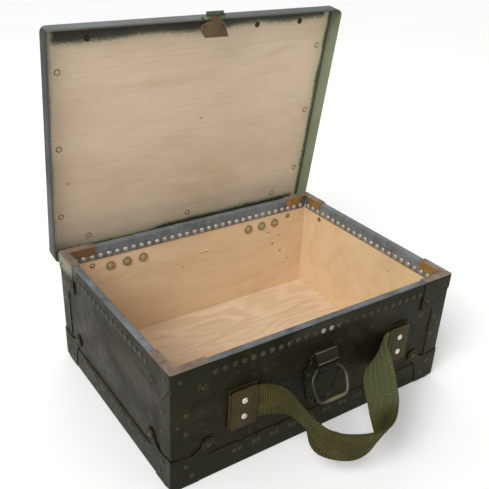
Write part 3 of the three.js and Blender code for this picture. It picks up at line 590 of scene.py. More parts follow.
def tube(bm, points, radii, slot=0, segments=12, closed=False):
    """A round bar along points, with its own radius at each."""
    count = len(points)
    points = [Vector(p) for p in points]
    rings = []
    side = None
    for i, point in enumerate(points):
        after = points[(i + 1) % count] if closed or i + 1 < count else point
        before = points[i - 1] if closed or i > 0 else point
        along = (after - before).normalized()
        if side is None:
            side = along.orthogonal()
        side = (side - along * side.dot(along)).normalized()
        up = along.cross(side)
        ring = [point + (side * cos(a) + up * sin(a)) * radii[i]
                for a in (tau * k / segments for k in range(segments))]
        rings.append(ring)
    made = skin(bm, rings, slot, cap_first=not closed, cap_last=not closed)
    if closed:
        first, last = made[0], made[-1]
        # Match the twist left over after one turn of the loop
        best = min(range(segments), key=lambda k: (last[0].co - first[k].co).length)
        for i in range(segments):
            j = (i + 1) % segments
            quad = (last[i], last[j], first[(j + best) % segments], first[(i + best) % segments])
            bm.faces.new(quad).material_index = slot


def folded(bm, outline, sx, sy, inset=0, foot=0):
    """Sheet wrapped round an upright corner of the box. The outline is (distance from the
    corner edge along the face, height); it is used on both faces. A foot radius draws the
    corner in towards the ground."""
    bend = (FOLD - inset * 0.35) * pi / 2
    radius = bend * 2 / pi
    flat = [(a - radius + bend / 2, z) if a > 0 else (0, z) for a, z in outline]
    loop = flat + [(-s, z) for s, z in reversed(flat) if s > 0]
    sheet = bmesh.new()
    sheet.faces.new([sheet.verts.new((s, z, 0)) for s, z in loop])
    cuts = [(-bend / 2 + bend * k / 6, 0) for k in range(7)]
    if foot:
        cuts += [(0, level * foot) for level in (0.12, 0.3, 0.55, 0.8, 1)]
        cuts += [(at * foot, 0) for at in (-2.4, -1.6, -0.9, 0.9, 1.6, 2.4)]
    for x, y in cuts:
        everything = sheet.verts[:] + sheet.edges[:] + sheet.faces[:]
        across = (0, 1, 0) if y else (1, 0, 0)
        bmesh.ops.bisect_plane(sheet, geom=everything, plane_co=(x, y, 0), plane_no=across)
    bmesh.ops.triangulate(sheet, faces=[f for f in sheet.faces if len(f.verts) > 4])
    grown = bmesh.ops.extrude_face_region(sheet, geom=sheet.faces[:])
    inner = [v for v in grown["geom"] if isinstance(v, bmesh.types.BMVert)]
    bmesh.ops.translate(sheet, verts=inner, vec=(0, 0, 1))
    cx, cy = HALF_X - inset, HALF_Y - inset
    for vert in sheet.verts:
        s, z, k = vert.co
        r = radius - k * STEEL
        if abs(s) <= bend / 2 + 1e-6:
            a = pi / 4 + (s / bend) * pi / 2
            x = cx - radius + r * cos(a)
            y = cy - radius + r * sin(a)
        elif s > 0:
            x, y = cx - radius - (s - bend / 2), cy - k * STEEL
        else:
            x, y = cx - k * STEEL, cy - radius - (-s - bend / 2)
        if foot and z < foot:
            # Draws in most at the corner itself, fading out along both faces
            pull = foot - sqrt(max(0, foot ** 2 - (foot - z) ** 2))
            pull *= max(0, 1 - (abs(s) / (2.6 * foot)) ** 2)
            x, y = x - 0.75 * pull, y - 0.75 * pull
        vert.co = (sx * x, sy * y, z)
    bmesh.ops.recalc_face_normals(sheet, faces=sheet.faces[:])
    table = {v: bm.verts.new(v.co) for v in sheet.verts}
    for face in sheet.faces:
        bm.faces.new([table[v] for v in face.verts])
    sheet.free()


def corner_spots(a, z, sx, sy, inset=0):
    """The same point on both faces of a corner, with each face's normal."""
    x, y = HALF_X - inset, HALF_Y - inset
    return (((sx * (x - a), sy * y, z), (0, sy, 0)), ((sx * x, sy * (y - a), z), (sx, 0, 0)))


def corner_rivets(bm, sx, sy, inset, slot, rivets):
    """Domes on both faces of a corner, from (distance, height, radius, rise, segments)."""
    for a, z, radius, rise, segments in rivets:
        for at, normal in corner_spots(a, z, sx, sy, inset):
            dome(bm, at, normal, radius, rise, slot, segments)


def piece(name, bm, materials, body, replaces=(), bevel=0.25, lid=False, angle=38):
    """Turns a collected mesh in mm into a finished piece on a body."""
    bmesh.ops.recalc_face_normals(bm, faces=bm.faces[:])
    if lid:
        bm.transform(LID)
    bm.transform(Matrix.Scale(MM, 4))
    data = bpy.data.meshes.new(name)
    bm.to_mesh(data)
    bm.free()
    data.shade_smooth()
    if not bevel:
        data.set_sharp_from_angle(angle=radians(angle))
    made = add_object(name, data)
    for material in materials:
        data.materials.append(material)
    if bevel:
        soft = made.modifiers.new("soft_edges", "BEVEL")
        soft.width = bevel * MM
        soft.segments = 2
        soft.limit_method = "ANGLE"
        soft.angle_limit = radians(angle)
        soft.harden_normals = True
    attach(made, body)
    if replaces:
        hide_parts(*replaces)
    return made


def refined(node, name, materials, body, bevel=0.3, extra=None):
    """A softened copy of a small CAD node, with anything extra joined to it."""
    bm = bmesh.new()
    bm.from_mesh(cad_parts[node].data)
    bm.transform(Matrix.Scale(1 / MM, 4))
    bmesh.ops.remove_doubles(bm, verts=bm.verts[:], dist=0.01)
    bmesh.ops.dissolve_limit(bm, angle_limit=radians(1.5), verts=bm.verts[:],
                             edges=bm.edges[:], use_dissolve_boundaries=False)
    for face in bm.faces:
        face.material_index = 0
    if extra:
        extra(bm)
    piece(name, bm, materials, body, [node], bevel)


# Box ------------------------------------------------------------------------------------

def repaint(node, material):
    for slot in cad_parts[node].material_slots:
        slot.material = material


def boards():
    repaint("floor_panel", PLY_FLOOR)
    repaint("front_wall", PLY_LONG)
    repaint("back_wall", PLY_LONG)
    repaint("left_wall", PLY_SHORT)
    repaint("right_wall", PLY_SHORT)
    repaint("lid_panel", PLY_LID)
    repaint("fibre_skin", FIBRE)


def side_point(along_x, sign):
    """Gives (x, y, z) from (along the side, outwards, up) on one side of the box."""
    def put(along, across, up):
        return (along, sign * across, up) if along_x else (sign * across, along, up)
    return put


def rail_profile(reach):
    """(outwards, up) round the channel, with rolled top edges; the outer leg comes first."""
    outer, inner = reach - TRIM, reach - LINER_IN
    t = STEEL
    top = RIM
    roll = 1.6
    profile = [(outer, RAIL_LOW)] + arc(outer - roll, top - roll, roll, 0, 90, 4)
    profile += arc(inner + roll, top - roll, roll, 90, 180, 4)
    profile += [(inner, RAIL_LOW), (inner + t, RAIL_LOW), (inner + t, top - t - 0.3)]
    profile += [(outer - t, top - t - 0.3), (outer - t, RAIL_LOW)]
    return profile


def rail_zone(across, up, reach):
    """Which paint a face of the rail wears: dark outside, pale bead, blue-grey inside."""
    if up > RIM - 1.2 and across > reach - 3.2:
        return 1
    if across > reach - 2.2:
        return 0
    return 2


def rail(name, along_x, sign):
    reach = HALF_Y if along_x else HALF_X
    half = (HALF_X - TRIM) if along_x else (HALF_Y - LINER_IN - 0.4)
    liner = (HALF_X if along_x else HALF_Y) - 14
    put = side_point(along_x, sign)
    bm = bmesh.new()
    profile = rail_profile(reach)
    stations = [-half, -liner, -liner * 0.5, 0, liner * 0.5, liner, half]
    rings = [[put(s, a, z) for a, z in profile] for s in stations]
    skin(bm, rings, 0)
    # The inner leg stops short of the corners, so lift its lower edge there
    for vert in bm.verts:
        along = vert.co.x if along_x else vert.co.y
        across = abs(vert.co.y if along_x else vert.co.x)
        if abs(along) > liner + 1 and across < reach - LINER_OUT + 0.1 and vert.co.z < RIM - 4:
            vert.co.z = RIM - 3
    for face in bm.faces:
        centre = face.calc_center_median()
        face.material_index = rail_zone(abs(centre.y if along_x else centre.x), centre.z, reach)
    count_in, count_out = (32, 26) if along_x else (23, 17)
    rows = ((count_in, LINER_IN, -1, 3.75, 1.75, 3), (count_out, TRIM, 1, 3.7, 1.25, 4))
    for count, inset, facing, radius, rise, slot in rows:
        for k in range(count):
            along = (k - (count - 1) / 2) * PITCH + random.uniform(-0.3, 0.3)
            at = put(along, reach - inset, RIVET_Z + random.uniform(-0.3, 0.3))
            dome(bm, at, put(0, facing, 0), radius, rise, slot)
    piece(name + "_steel", bm, [DARK, BEAD, RAIL, LIGHT_RIVET, DARK_RIVET], "box",
                 [name], 0.2)


def rails():
    for name, sign in ENDS:
        rail(f"{name}_rail", True, sign)
    for name, sign in SIDES:
        rail(f"{name}_rail", False, sign)


def cap(end, side, sx, sy):
    """A cap folded over a rim corner, with tabs outside and in."""
    bm = bmesh.new()
    top = RIM + 1.1
    skirt = [(0, top - 0.5), (51.4, top - 0.5), (51.8, 151), (51.8, 130.2), (50.8, 129.2), (21, 129.2),
             (19.6, 130), (3.2, 154.4), (2.6, 155), (0, 155)]
    folded(bm, skirt, sx, sy)
    # Top sheet: an L with a rounded outer corner
    reach, tab = 51.2, 11.9
    edge, inner = FOLD + 0.25, 3.5
    outline = arc(HALF_X - edge, HALF_Y - edge, FOLD, 0, 90, 4)
    outline += [(HALF_X - reach, HALF_Y - 0.3), (HALF_X - reach, HALF_Y - tab)]
    outline += arc(HALF_X - tab - inner, HALF_Y - tab - inner, inner, 90, 0, 3)
    outline += [(HALF_X - tab, HALF_Y - reach), (HALF_X - 0.3, HALF_Y - reach)]
    rings = [[(sx * x, sy * y, z) for x, y in outline] for z in (top - STEEL, top)]
    skin(bm, rings, 1)
    # Tabs folded down inside, varnished
    tab_outline = ((15, top - 0.3), (51.6, top - 0.3), (50.6, 163.8), (25, 163.8))
    for flip in (False, True):
        rings = [[(a, inset, z) if not flip else (inset, a, z) for a, z in tab_outline]
                 for inset in (11.1, 11.9)]
        rings = [[(sx * (HALF_X - a), sy * (HALF_Y - b), z) for a, b, z in ring] for ring in rings]
        skin(bm, rings, 2)
    for at, normal in corner_spots(42.5, 144, sx, sy):
        rosette(bm, at, normal, 3, 0.8)
    corner_rivets(bm, sx, sy, 0, 3, [(13, 163, 2.4, 0.7, 12)])
    piece(f"corner_cap_{end}_{side}", bm, [DARK, CAP_TOP, AMBER, DARK_RIVET], "box",
                 [f"cap_{end}_{side}"], 0.25)


def edge_strip(end, side, sx, sy):
    bm = bmesh.new()
    outline = [(0, 36.3), (25.4, 36.3), (26, 37), (26, 153), (25.4, 153.7), (0, 153.7)]
    folded(bm, outline, sx, sy, inset=TRIM)
    rivets = ((20, 83, 3.2, 1.1, 14), (20, 112, 3.2, 1.1, 14), (9, 97, 1.7, 0.5, 10))
    corner_rivets(bm, sx, sy, TRIM, 1, rivets)
    piece(f"edge_angle_{end}_{side}", bm, [DARK, DARK_RIVET], "box",
                 [f"edge_strip_{end}_{side}"], 0.2)


def rosette(bm, at, normal, rivet, size=1):
    """A pressed ring round a domed rivet."""
    ring = [(8.2, -0.3), (8.2, 0.05), (7.6, 0.7), (6.7, 0.75), (6, 0.2), (5.8, -0.2)]
    lathe(bm, at, normal, [(r * size, h) for r, h in ring], 0, 24)
    dome(bm, at, normal, 4.3 * size, 1.3, rivet, 16)


def protector(end, side, sx, sy):
    """The stamped corner: a lobed sheet round the upright, turned in underneath."""
    bm = bmesh.new()
    outline = [(0, 0.4), (38.6, 0.4), (39.2, 8), (40.4, 20), (42.6, 28), (46, 36), (50, 42), (53, 44.6)]
    outline += arc(52, 54, 9.6, -70, 170, 16)
    outline += [(40.6, 50.2), (35, 47.6), (30, 45.6), (24, 45.2), (18, 46), (12, 47.4), (6, 48.6), (0, 49)]
    outline = [p for i, p in enumerate(outline) if i < 7 or p[0] < 62]
    folded(bm, outline, sx, sy, foot=FOOT)
    for dx, dy in ((38.4, 9.4), (9.4, 38.4)):
        start = (sx * (HALF_X - 4.4), sy * (HALF_Y - 4.4), 0)
        box(bm, start, (sx * (HALF_X - dx), sy * (HALF_Y - dy), STEEL))
    for at, normal in corner_spots(52, 54, sx, sy):
        rosette(bm, at, normal, 1)
    corner_rivets(bm, sx, sy, 0, 1, [(20.5, 34, 3.3, 1.1, 14), (29, 15, 3.1, 1, 14)])
    piece(f"stamped_corner_{end}_{side}", bm, [DARK, DARK_RIVET], "box",
                 [f"corner_protector_{end}_{side}"], 0.22)


def corners():
    for end, sy in ENDS:
        for side, sx in SIDES:
            cap(end, side, sx, sy)
            edge_strip(end, side, sx, sy)
            protector(end, side, sx, sy)


def bottom_strip(name, along_x, sign):
    reach = HALF_Y if along_x else HALF_X
    half = (HALF_X - TRIM - 2.6) if along_x else (HALF_Y - 1.9 - 2)
    flange = (HALF_X if along_x else HALF_Y) - TRIM - 39.4
    put = side_point(along_x, sign)
    bm = bmesh.new()
    outer, inner = reach - TRIM, reach - TRIM - STEEL
    box(bm, put(-half, inner, 1.1), put(half, outer, 36))
    box(bm, put(-flange, reach - 9.6, 0), put(flange, outer - 0.02, STEEL))
    box(bm, put(-flange, inner, 0), put(flange, outer - 0.01, 20))
    count = 10 if along_x else 7
    for k in range(count):
        for offset in (-4, 4):
            along = (k - (count - 1) / 2) * 29 + offset + random.uniform(-0.5, 0.5)
            at = put(along, outer, 25 + random.uniform(-0.6, 0.6))
            dome(bm, at, put(0, 1, 0), 3.15, 1.1, 1)
    # A shallow rolled bead along the top of the edging
    start = half - 58
    line = [Vector(put(-start + 2 * start * k / 24, outer, 33.4)) for k in range(25)]
    tube(bm, line, [0.35] + [0.7] * 23 + [0.35], 0, 8)
    piece(f"{name}_edging", bm, [DARK, DARK_RIVET], "box", [f"bottom_strip_{name}"],
                 0.25)


INSIDE_BACK, INSIDE_RIGHT = 155.3, 215.3
BOLT_Z = 138.5


def small_screws():
    """Ringed screws and a brass screw inside the walls."""
    spots = (
        ("back_left", (-179, INSIDE_BACK, 145), (0, -1, 0), EYELET),
        ("back_right", (179, INSIDE_BACK, 145), (0, -1, 0), DULL_DISC),
        ("right", (INSIDE_RIGHT, 114, 146), (-1, 0, 0), BRASS),
    )
    for name, at, normal, metal in spots:
        bm = bmesh.new()
        ring = [(4, -0.2), (4, 0.25), (3.5, 0.45), (2.7, 0.35), (2.5, 0.1)]
        lathe(bm, at, normal, ring, 1, 20)
        dome(bm, at, normal, 2.4, 0.8, 0, 16)
        piece(f"wall_screw_{name}", bm, [metal, DISC_RIM], "box", bevel=0)


def bolt_disc(x):
    """Gives a function that adds a pressed disc, with a turned-in rim and a sunk slot head."""
    def add(bm):
        at, inwards = (x, INSIDE_BACK, BOLT_Z), (0, -1, 0)
        lathe(bm, at, inwards, [(7.4, 0), (7.4, 1.9), (7, 2.2), (6.2, 2.2), (5.7, 1.9)], 1, 28)
        lathe(bm, at, inwards, [(5.8, 1.5), (5.7, 1.95), (3.9, 1.7)], 0, 28)
        head = [(3.9, 1.5), (3.8, 2.4), (3, 2.9), (1.4, 2.95), (1.1, 2.5)]
        lathe(bm, at, inwards, head, 2, 24)
        for face in bm.faces:
            if face.calc_center_median().y > HALF_Y - 5:
                face.material_index = 3
    return add


def hinges():
    metals = [DULL_DISC, BOLT_RIM, DULL_HEAD, DARK_RIVET]
    for side, _ in SIDES:
        refined(f"hinge_lower_leaf_{side}", f"hinge_box_leaf_{side}", [DARK], "box")
        refined(f"hinge_upper_leaf_{side}", f"hinge_lid_leaf_{side}", [DARK, DARK_RIVET], "lid")
        refined(f"hinge_pin_{side}", f"hinge_rod_{side}", [BRIGHT], "box")
        for k in (1, 2, 3):
            node = f"hinge_bolt_{side}_{k}"
            low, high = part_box(node)
            middle = (low[0] + high[0]) / 2 / MM
            refined(node, f"hinge_bolt_disc_{side}_{k}", metals, "box", 0.2,
                    bolt_disc(middle))


# Latch ----------------------------------------------------------------------------------

RING_PIVOT = (-169.6, 106)
RING_REST = radians(30)


def on_ring(x, reach):
    """A point on the ring as it hangs, so far out from its pivot."""
    y, z = RING_PIVOT
    return (x, y - reach * sin(RING_REST), z - reach * cos(RING_REST))


def closed_curve(loop, steps=4):
    """A Catmull-Rom curve through a loop of (x, reach) points."""
    dense = []
    count = len(loop)
    for i in range(count):
        p0, p1, p2, p3 = (Vector((*loop[(i + k) % count], 0)) for k in (-1, 0, 1, 2))
        for k in range(steps):
            t = k / steps
            a = 2 * p1 + (p2 - p0) * t + (2 * p0 - 5 * p1 + 4 * p2 - p3) * t * t
            dense.append(0.5 * (a + (3 * p1 - 3 * p2 + p3 - p0) * t ** 3))
    return dense


def latch():
    def trim(bm):
        # Raised rim round the shield, open at the neck
        half = [(30.2, 104), (28.4, 86), (24.6, 66), (20.6, 56), (12, 47.4), (0, 46.9)]
        line = [(-x, z) for x, z in half] + [(x, z) for x, z in reversed(half[:-1])]
        rim = []
        for (x0, z0), (x1, z1) in zip(line, line[1:]):
            for t in (0, 0.25, 0.5, 0.75):
                rim.append((x0 + (x1 - x0) * t, -164.5, z0 + (z1 - z0) * t))
        rim.append((line[-1][0], -164.5, line[-1][1]))
        tube(bm, rim, [0.9] * len(rim), 0, 8)
        for x, z in ((20.8, 116), (26, 100), (14, 52)):
            for s in (-1, 1):
                dome(bm, (s * x, -164.3, z), (0, -1, 0), 2.6, 1.2, 1)

    refined("latch_base_plate", "latch_shield", [DARK, DARK_RIVET], "box", extra=trim)

    def clip_rolls(bm):
        # The hood's rolled lip, and the fold that holds the ring
        for y, z, out, up, radius in ((-173.3, 116.4, 0.2, -0.1, 0.9), (-166, 128.9, 0.1, 0.1, 0.7)):
            line = [(-17, y, z), (0, y - out, z + up), (17, y, z)]
            tube(bm, line, [radius, radius + 0.1, radius], 1, 10)

    refined("latch_clip", "latch_hood", [CLIP, LIP], "box", 0.35, clip_rolls)

    # Half of the ring's outline, as (x, reach) from its pivot
    half = [(0, 0), (7, 0), (12.5, 0), (15.4, 0.5), (19.3, 3.8), (23.5, 7.6), (26.4, 12),
            (27.7, 18.5), (27.3, 25), (26.3, 31), (25, 36.6), (21.8, 41.4), (16.8, 43.1),
            (9, 43.2), (0, 43.2)]
    loop = half + [(-x, r) for x, r in reversed(half[1:-1])]
    dense, radii = [], []
    for p in closed_curve(loop):
        dense.append(on_ring(p.x, p.y))
        grip = max(0, min(1, (p.y - 41.6) / 1.2)) * max(0, 1 - (abs(p.x) / 18) ** 4)
        radii.append(1.78 + 0.5 * grip)
    bm = bmesh.new()
    tube(bm, dense, radii, 0, 14, closed=True)
    piece("latch_ring", bm, [WIRE], "bail", ["latch_bail"], 0)


# Handle ---------------------------------------------------------------------------------

WEBBING_Y = -166.3
STRAP_HALF, STRAP_THICK = 24.8, 1.15
SELVEDGE = 1.3
RIB, ROWS_PER_RIB = 3.3, 6
# Stations along the strap: its middle, and the way across its width
STRAP = (
    ((-146, WEBBING_Y, 92), (0, 0, 1)), ((-125, WEBBING_Y, 92), (0, 0, 1)),
    ((-106, WEBBING_Y, 92), (0, 0, 1)), ((-101, -166.9, 91.8), (0, 0, 1)),
    ((-87, -172, 91), (-0.05, -0.07, 1)), ((-74.2, -185.3, 90.1), (-0.22, -0.11, 0.97)),
    ((-66.1, -220, 79.9), (-0.29, -0.34, 0.89)), ((-55.8, -246, 62.4), (0.24, -0.43, 0.87)),
    ((-22.5, -268, 58.7), (0.19, -0.24, 0.95)), ((15, -267, 62), (0.09, -0.4, 0.91)),
    ((40, -240, 73), (0.34, -0.58, 0.74)), ((59, -208, 88.5), (0.43, -0.58, 0.69)),
    ((81, -180, 96), (0.24, -0.38, 0.89)), ((97, -169, 93.5), (0.06, -0.1, 1)),
    ((106, -166.9, 92.4), (0, 0, 1)), ((111, WEBBING_Y, 92), (0, 0, 1)),
    ((133, WEBBING_Y, 92), (0, 0, 1)), ((151, WEBBING_Y, 92), (0, 0, 1)),
)


def spline(points, t):
    """A point on the centripetal Catmull-Rom curve through points, t from 0 to 1."""
    last = len(points) - 1
    at = last * t
    i = min(int(at), last - 1)
    w = at - i
    p1, p2 = points[i], points[i + 1]
    p0 = points[i - 1] if i > 0 else p1 * 2 - p2
    p3 = points[i + 2] if i + 2 <= last else p2 * 2 - p1
    d1 = (p2 - p1).length ** 0.5
    d1 = d1 if d1 > 1e-4 else 1
    d0 = (p1 - p0).length ** 0.5
    d0 = d0 if d0 > 1e-4 else d1
    d2 = (p3 - p2).length ** 0.5
    d2 = d2 if d2 > 1e-4 else d1
    m1 = ((p1 - p0) / d0 - (p2 - p0) / (d0 + d1) + (p2 - p1) / d1) * d1
    m2 = ((p2 - p1) / d1 - (p3 - p1) / (d1 + d2) + (p3 - p2) / d2) * d1
    a = 2 * p1 - 2 * p2 + m1 + m2
    b = 3 * p2 - 3 * p1 - 2 * m1 - m2
    return ((a * w + b) * w + m1) * w + p1


def strap():
    """Ribbed webbing, swept along its stations, with thinned selvedges."""
    centres = [Vector(c) for c, _ in STRAP]
    widths = [Vector(w) for _, w in STRAP]
    samples = 1600
    line = [spline(centres, k / samples) for k in range(samples + 1)]
    run = [0]
    for a, b in zip(line, line[1:]):
        run.append(run[-1] + (b - a).length)
    rows = int(run[-1] / RIB * ROWS_PER_RIB)
    across = [STRAP_HALF * sin(pi / 2 * k / 13) for k in range(-13, 14)]
    loop = [(v, 1) for v in across] + [(v, -1) for v in reversed(across[1:-1])]
    rings, uvs = [], []
    k = 0
    for row in range(rows + 1):
        want = run[-1] * row / rows
        while k < samples - 1 and run[k + 1] < want:
            k += 1
        part = (want - run[k]) / max(run[k + 1] - run[k], 1e-6)
        t = (k + part) / samples
        centre = spline(centres, t)
        after, before = spline(centres, min(1, t + 4e-4)), spline(centres, max(0, t - 4e-4))
        tangent = (after - before).normalized()
        width = spline(widths, t)
        width = (width - tangent * width.dot(tangent)).normalized()
        normal = width.cross(tangent)
        wave = cos(tau * want / RIB)
        ring = []
        for v, face in loop:
            past = max(0, abs(v) - (STRAP_HALF - SELVEDGE))
            edge = max(0, 1 - past ** 2 / SELVEDGE ** 2) ** 0.5
            cord = 0.07 * cos(tau * v / 4.2)
            lift = (STRAP_THICK + 0.27 * wave + cord) * edge * face
            ring.append(centre + width * v * (1 + 0.006 * wave) + normal * lift)
            uvs += (want * MM, v * MM)
        rings.append(ring)
    bm = bmesh.new()
    skin(bm, rings, 0)
    made = piece("webbing_strap", bm, [CLOTH], "box", ["webbing_handle"], 0, angle=180)
    layer = made.data.uv_layers.new(name="strap")
    for corner, spot in zip(made.data.loops, layer.data):
        at = 2 * corner.vertex_index
        spot.uv = uvs[at:at + 2]


def hide_plate(name, node, crown, material):
    """A hide plate with rounded corners, a crown, and a pressed line inside its edge."""
    low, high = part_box(node)
    x0, y0, z0 = (c / MM for c in low)
    x1, y1, z1 = (c / MM for c in high)
    cx, cz = (x0 + x1) / 2, (z0 + z1) / 2
    # (inset, y, corner radius) from the back to the front
    profile = (
        (0.3, y1, 2.6), (0, y1 - 0.25, 2.6), (0, y0 + 0.35, 2.6), (0.35, y0, 2.5),
        (2.6, y0 - crown * 0.2, 2), (3, y0 + 0.22, 1.9), (3.5, y0 + 0.22, 1.8),
        (3.9, y0 - crown * 0.3, 1.8), (8, y0 - crown, 1.5), (14, y0 - crown, 1.2),
    )
    rings = []
    for inset, y, radius in profile:
        flat = rounded_ring((x1 - x0) / 2 - inset, (z1 - z0) / 2 - inset, radius, y, 4)
        rings.append([(cx + x, y, cz + z) for x, z, y in flat])
    bm = bmesh.new()
    skin(bm, rings, 0)
    piece(name, bm, [material], "box", [node], 0)


PLATE_FRONT = -169.55
RIVET_PROFILE = ((2, -6.2), (2, -0.25), (4.3, -0.1), (4.35, 0.25), (4, 0.8), (3.2, 1.3),
                 (2.1, 1.5), (1.6, 1.35), (1.1, 1.3))


def handle():
    strap()
    for side, _ in SIDES:
        hide_plate(f"handle_cover_{side}", f"handle_plate_{side}", 0.15, PLATE)
        hide_plate(f"handle_backing_{side}", f"handle_pad_{side}", -0.15, PAD)
        for level in ("lower", "upper"):
            node = f"handle_rivet_{side}_{level}"
            low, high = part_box(node)
            x, z = (low[0] + high[0]) / 2 / MM, (low[2] + high[2]) / 2 / MM
            bm = bmesh.new()
            lathe(bm, (x, PLATE_FRONT, z), (0.02, -1, 0.02), RIVET_PROFILE, 0, 24)
            piece(f"plate_rivet_{side}_{level}", bm, [BRIGHT], "box", [node], 0)


# Lid ------------------------------------------------------------------------------------

def rounded_ring(hx, hy, radius, z, steps=7):
    """Points round a rectangle with rounded corners."""
    points = []
    for quarter, (ux, uy) in enumerate(((1, 1), (-1, 1), (-1, -1), (1, -1))):
        start = 90 * quarter
        bend = arc(ux * (hx - radius), uy * (hy - radius), radius, start, start + 90, steps)
        points += [(x, y, z) for x, y in bend]
    return points


def pan():
    """The lid's pan: drawn walls, a rolled rim and a soft top edge."""
    corner = 8.2
    roll = 4.6
    outer = [(0, LID_RIM + 0.45, corner), (0, LID_RIM + 7, corner)]
    outer += [(-x, z, corner + x * 0.6) for x, z in arc(-roll, LID_TOP - roll, roll, 0, 90, 6)]
    outer.append((40, LID_TOP, 3))
    inner = [(40, LID_TOP - LID_SHEET, 3)]
    fold = 2.4
    bend = arc(-LID_SHEET - fold, LID_TOP - LID_SHEET - fold, fold, 90, 0, 4)
    inner += [(-x, z, corner + x) for x, z in bend]
    inner += [(LID_SHEET, LID_RIM + up, corner - LID_SHEET) for up in (7, 0.35)]
    inner.append((LID_SHEET * 0.5, LID_RIM, corner - 0.4))
    bm = bmesh.new()
    outer, inner = ([rounded_ring(LID_X - i, LID_Y - i, r, z) for i, z, r in rings]
                    for rings in (outer, inner))
    first = skin(bm, outer, 0, cap_first=False)[0]
    last = skin(bm, inner, 1, cap_last=False)[-1]
    for i in range(len(first)):
        j = (i + 1) % len(first)
        bm.faces.new((last[i], last[j], first[j], first[i])).material_index = 2
    for face in bm.faces:
        if face.material_index == 1 and all(v.co.z < LID_RIM + 0.5 for v in face.verts):
            face.material_index = 2
    piece("lid_pan", bm, [LID_OUT, LID_IN, LID_EDGE], "lid", ["lid_shell"], 0,
          lid=True, angle=50)


PANEL_FACE = 177.7
# The front row of screws lies in the dark band along the front, painted shadow over dark overspray, and is
# coloured as dark as the band
FIRST_FRONT_SCREW = 10


def lid_screws():
    """Panel screws in cup washers, seen inside the lid."""
    rows = [(sx * 208, LID_Y - down) for sx in (-1, 1) for down in (62, 169, 276)]
    rows += [(x, LID_Y - 20.5) for x in (-168, 0, 167)]
    rows += [(x, LID_Y - 316) for x in (-168, 90, 167)]
    for number, (x, y) in enumerate(rows, 1):
        bm = bmesh.new()
        at = (x + random.uniform(-1, 1), y, PANEL_FACE)
        cup = [(4.3, -0.2), (4.3, 0.25), (3.9, 0.55), (3.3, 0.5), (3, 0.2)]
        lathe(bm, at, (0, 0, -1), cup, 1, 20)
        head = [(3.1, 0), (3, 0.45), (2.2, 0.75), (1.3, 0.7), (1, 0.35)]
        lathe(bm, at, (0, 0, -1), head, 0, 18)
        metals = [EYELET, DISC_RIM] if number < FIRST_FRONT_SCREW else [DARK_RIVET, DARK]
        piece(f"panel_screw_{number:02d}", bm, metals, "lid", bevel=0, lid=True)
    bm = bmesh.new()
    head = [(2.6, -0.3), (2.6, 0.1), (2.2, 0.25), (1.6, 0.1), (1.2, -0.2)]
    lathe(bm, (-16, -LID_Y, 176), (0, -1, 0), head, 0, 16)
    piece("lid_front_screw", bm, [DARK_RIVET], "lid", bevel=0, lid=True)


KNUCKLE = Vector((0, 120.907, 488.11))
TONGUE_REST = radians(12)


def hasp():
    refined("hasp_leaf", "hasp_strap", [HASP_GREEN], "lid")
    refined("hasp_pin", "hasp_rod", [BRIGHT], "lid", 0.2)
    hang = Matrix.Rotation(-TONGUE_REST, 3, "X")

    def bosses(bm):
        face = hang @ Vector((0, -1, 0))
        for x in (-17, 11.5):
            at = KNUCKLE + hang @ Vector((x, -2.1, -10.5))
            boss = [(3.5, -0.3), (3.5, 0.3), (2.9, 0.8), (2.1, 0.5), (1.8, 0)]
            lathe(bm, at, face, boss, 0, 18)
            dome(bm, at, face, 1.7, 1.1, 1, 12)

    refined("hasp_tongue", "hasp_flap", [PRIMER, DARK_RIVET], "tongue", extra=bosses)


# Scene ----------------------------------------------------------------------------------

CAMERA_AT = Vector((-0.50904, -0.69624, 0.65183))
HEADING, ELEVATION, ROLL = (radians(v) for v in (35.25, -28.63, 2.74))
FRAME_PIXELS, FOCAL_PIXELS = 489, 697.6
SENSOR = 36


def camera():
    data = bpy.data.cameras.new("camera")
    data.sensor_width = SENSOR
    data.lens = SENSOR * FOCAL_PIXELS / FRAME_PIXELS
    data.shift_y = 0.03
    data.clip_end = 50
    made = add_object("camera", data)
    flat = cos(ELEVATION)
    look = Vector((sin(HEADING) * flat, cos(HEADING) * flat, sin(ELEVATION)))
    side = look.cross(Vector((0, 0, 1))).normalized()
    top = side.cross(look)
    right = side * cos(ROLL) + top * sin(ROLL)
    up = top * cos(ROLL) - side * sin(ROLL)
    turn = Matrix((right, up, -look)).transposed().to_4x4()
    made.matrix_world = Matrix.Translation(CAMERA_AT) @ turn
    bpy.context.scene.camera = made


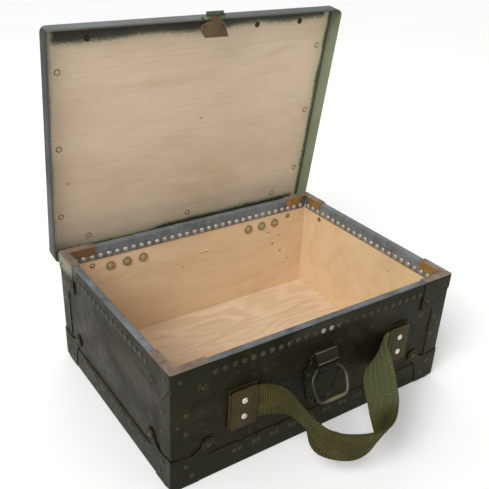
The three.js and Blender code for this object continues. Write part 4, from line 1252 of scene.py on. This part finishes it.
def light(name, kind, way, power, colour, at=(0, 0, 0)):
    """A lamp that shines from the given way."""
    data = bpy.data.lights.new(name, kind)
    data.energy = power
    data.color = colour
    made = add_object(name, data)
    made.location = at
    made.rotation_mode = "QUATERNION"
    made.rotation_quaternion = Vector(way).to_track_quat("Z", "Y")
    return data


def area(name, at, size, power, colour=(1, 1, 1)):
    """A softbox aimed at the middle of the box."""
    data = light(name, "AREA", Vector(at) - Vector((0, 0, 0.2)), power, colour, at)
    data.shape = "RECTANGLE"
    data.size, data.size_y = size


def studio():
    world = bpy.data.worlds.new("studio")
    bpy.context.scene.world = world
    world.use_nodes = True
    tree = world.node_tree
    background = tree.nodes["Background"]
    background.inputs[0].default_value = (1, 1, 1, 1)
    # A pale horizon that meets the floor, and a dimmer ceiling
    direction = tree.nodes.new("ShaderNodeTexCoord")
    height = tree.nodes.new("ShaderNodeSeparateXYZ")
    fade = tree.nodes.new("ShaderNodeMapRange")
    for index, value in ((1, 0.14), (2, 0.45), (3, 0.98), (4, 0.56)):
        fade.inputs[index].default_value = value
    tree.links.new(direction.outputs["Generated"], height.inputs[0])
    tree.links.new(height.outputs[2], fade.inputs[0])
    tree.links.new(fade.outputs[0], background.inputs[1])
    sun = light("key_sun", "SUN", (-0.66, -0.28, 0.72), 1.9, (1, 0.985, 0.955))
    sun.angle = radians(38)
    area("key", (-1.5, -0.8, 1.5), (0.9, 0.9), 9, (1, 0.98, 0.95))
    area("rim", (0.4, 1.7, 1.4), (1.4, 0.8), 5)
    bm = bmesh.new()
    bmesh.ops.create_grid(bm, x_segments=2, y_segments=2, size=45.0)
    data = bpy.data.meshes.new("studio_floor")
    bm.to_mesh(data)
    bm.free()
    data.materials.append(floor_paper())
    ground = add_object("studio_floor", data)
    ground.location.z = -0.0005
    view = bpy.context.scene.view_settings
    view.view_transform = "Standard"
    view.look = "None"


camera()
studio()
boards()
rails()
corners()
for strip_name, strip_sign in ENDS:
    bottom_strip(strip_name, True, strip_sign)
for strip_name, strip_sign in SIDES:
    bottom_strip(strip_name, False, strip_sign)
small_screws()
hinges()
latch()
handle()
pan()
lid_screws()
hasp()
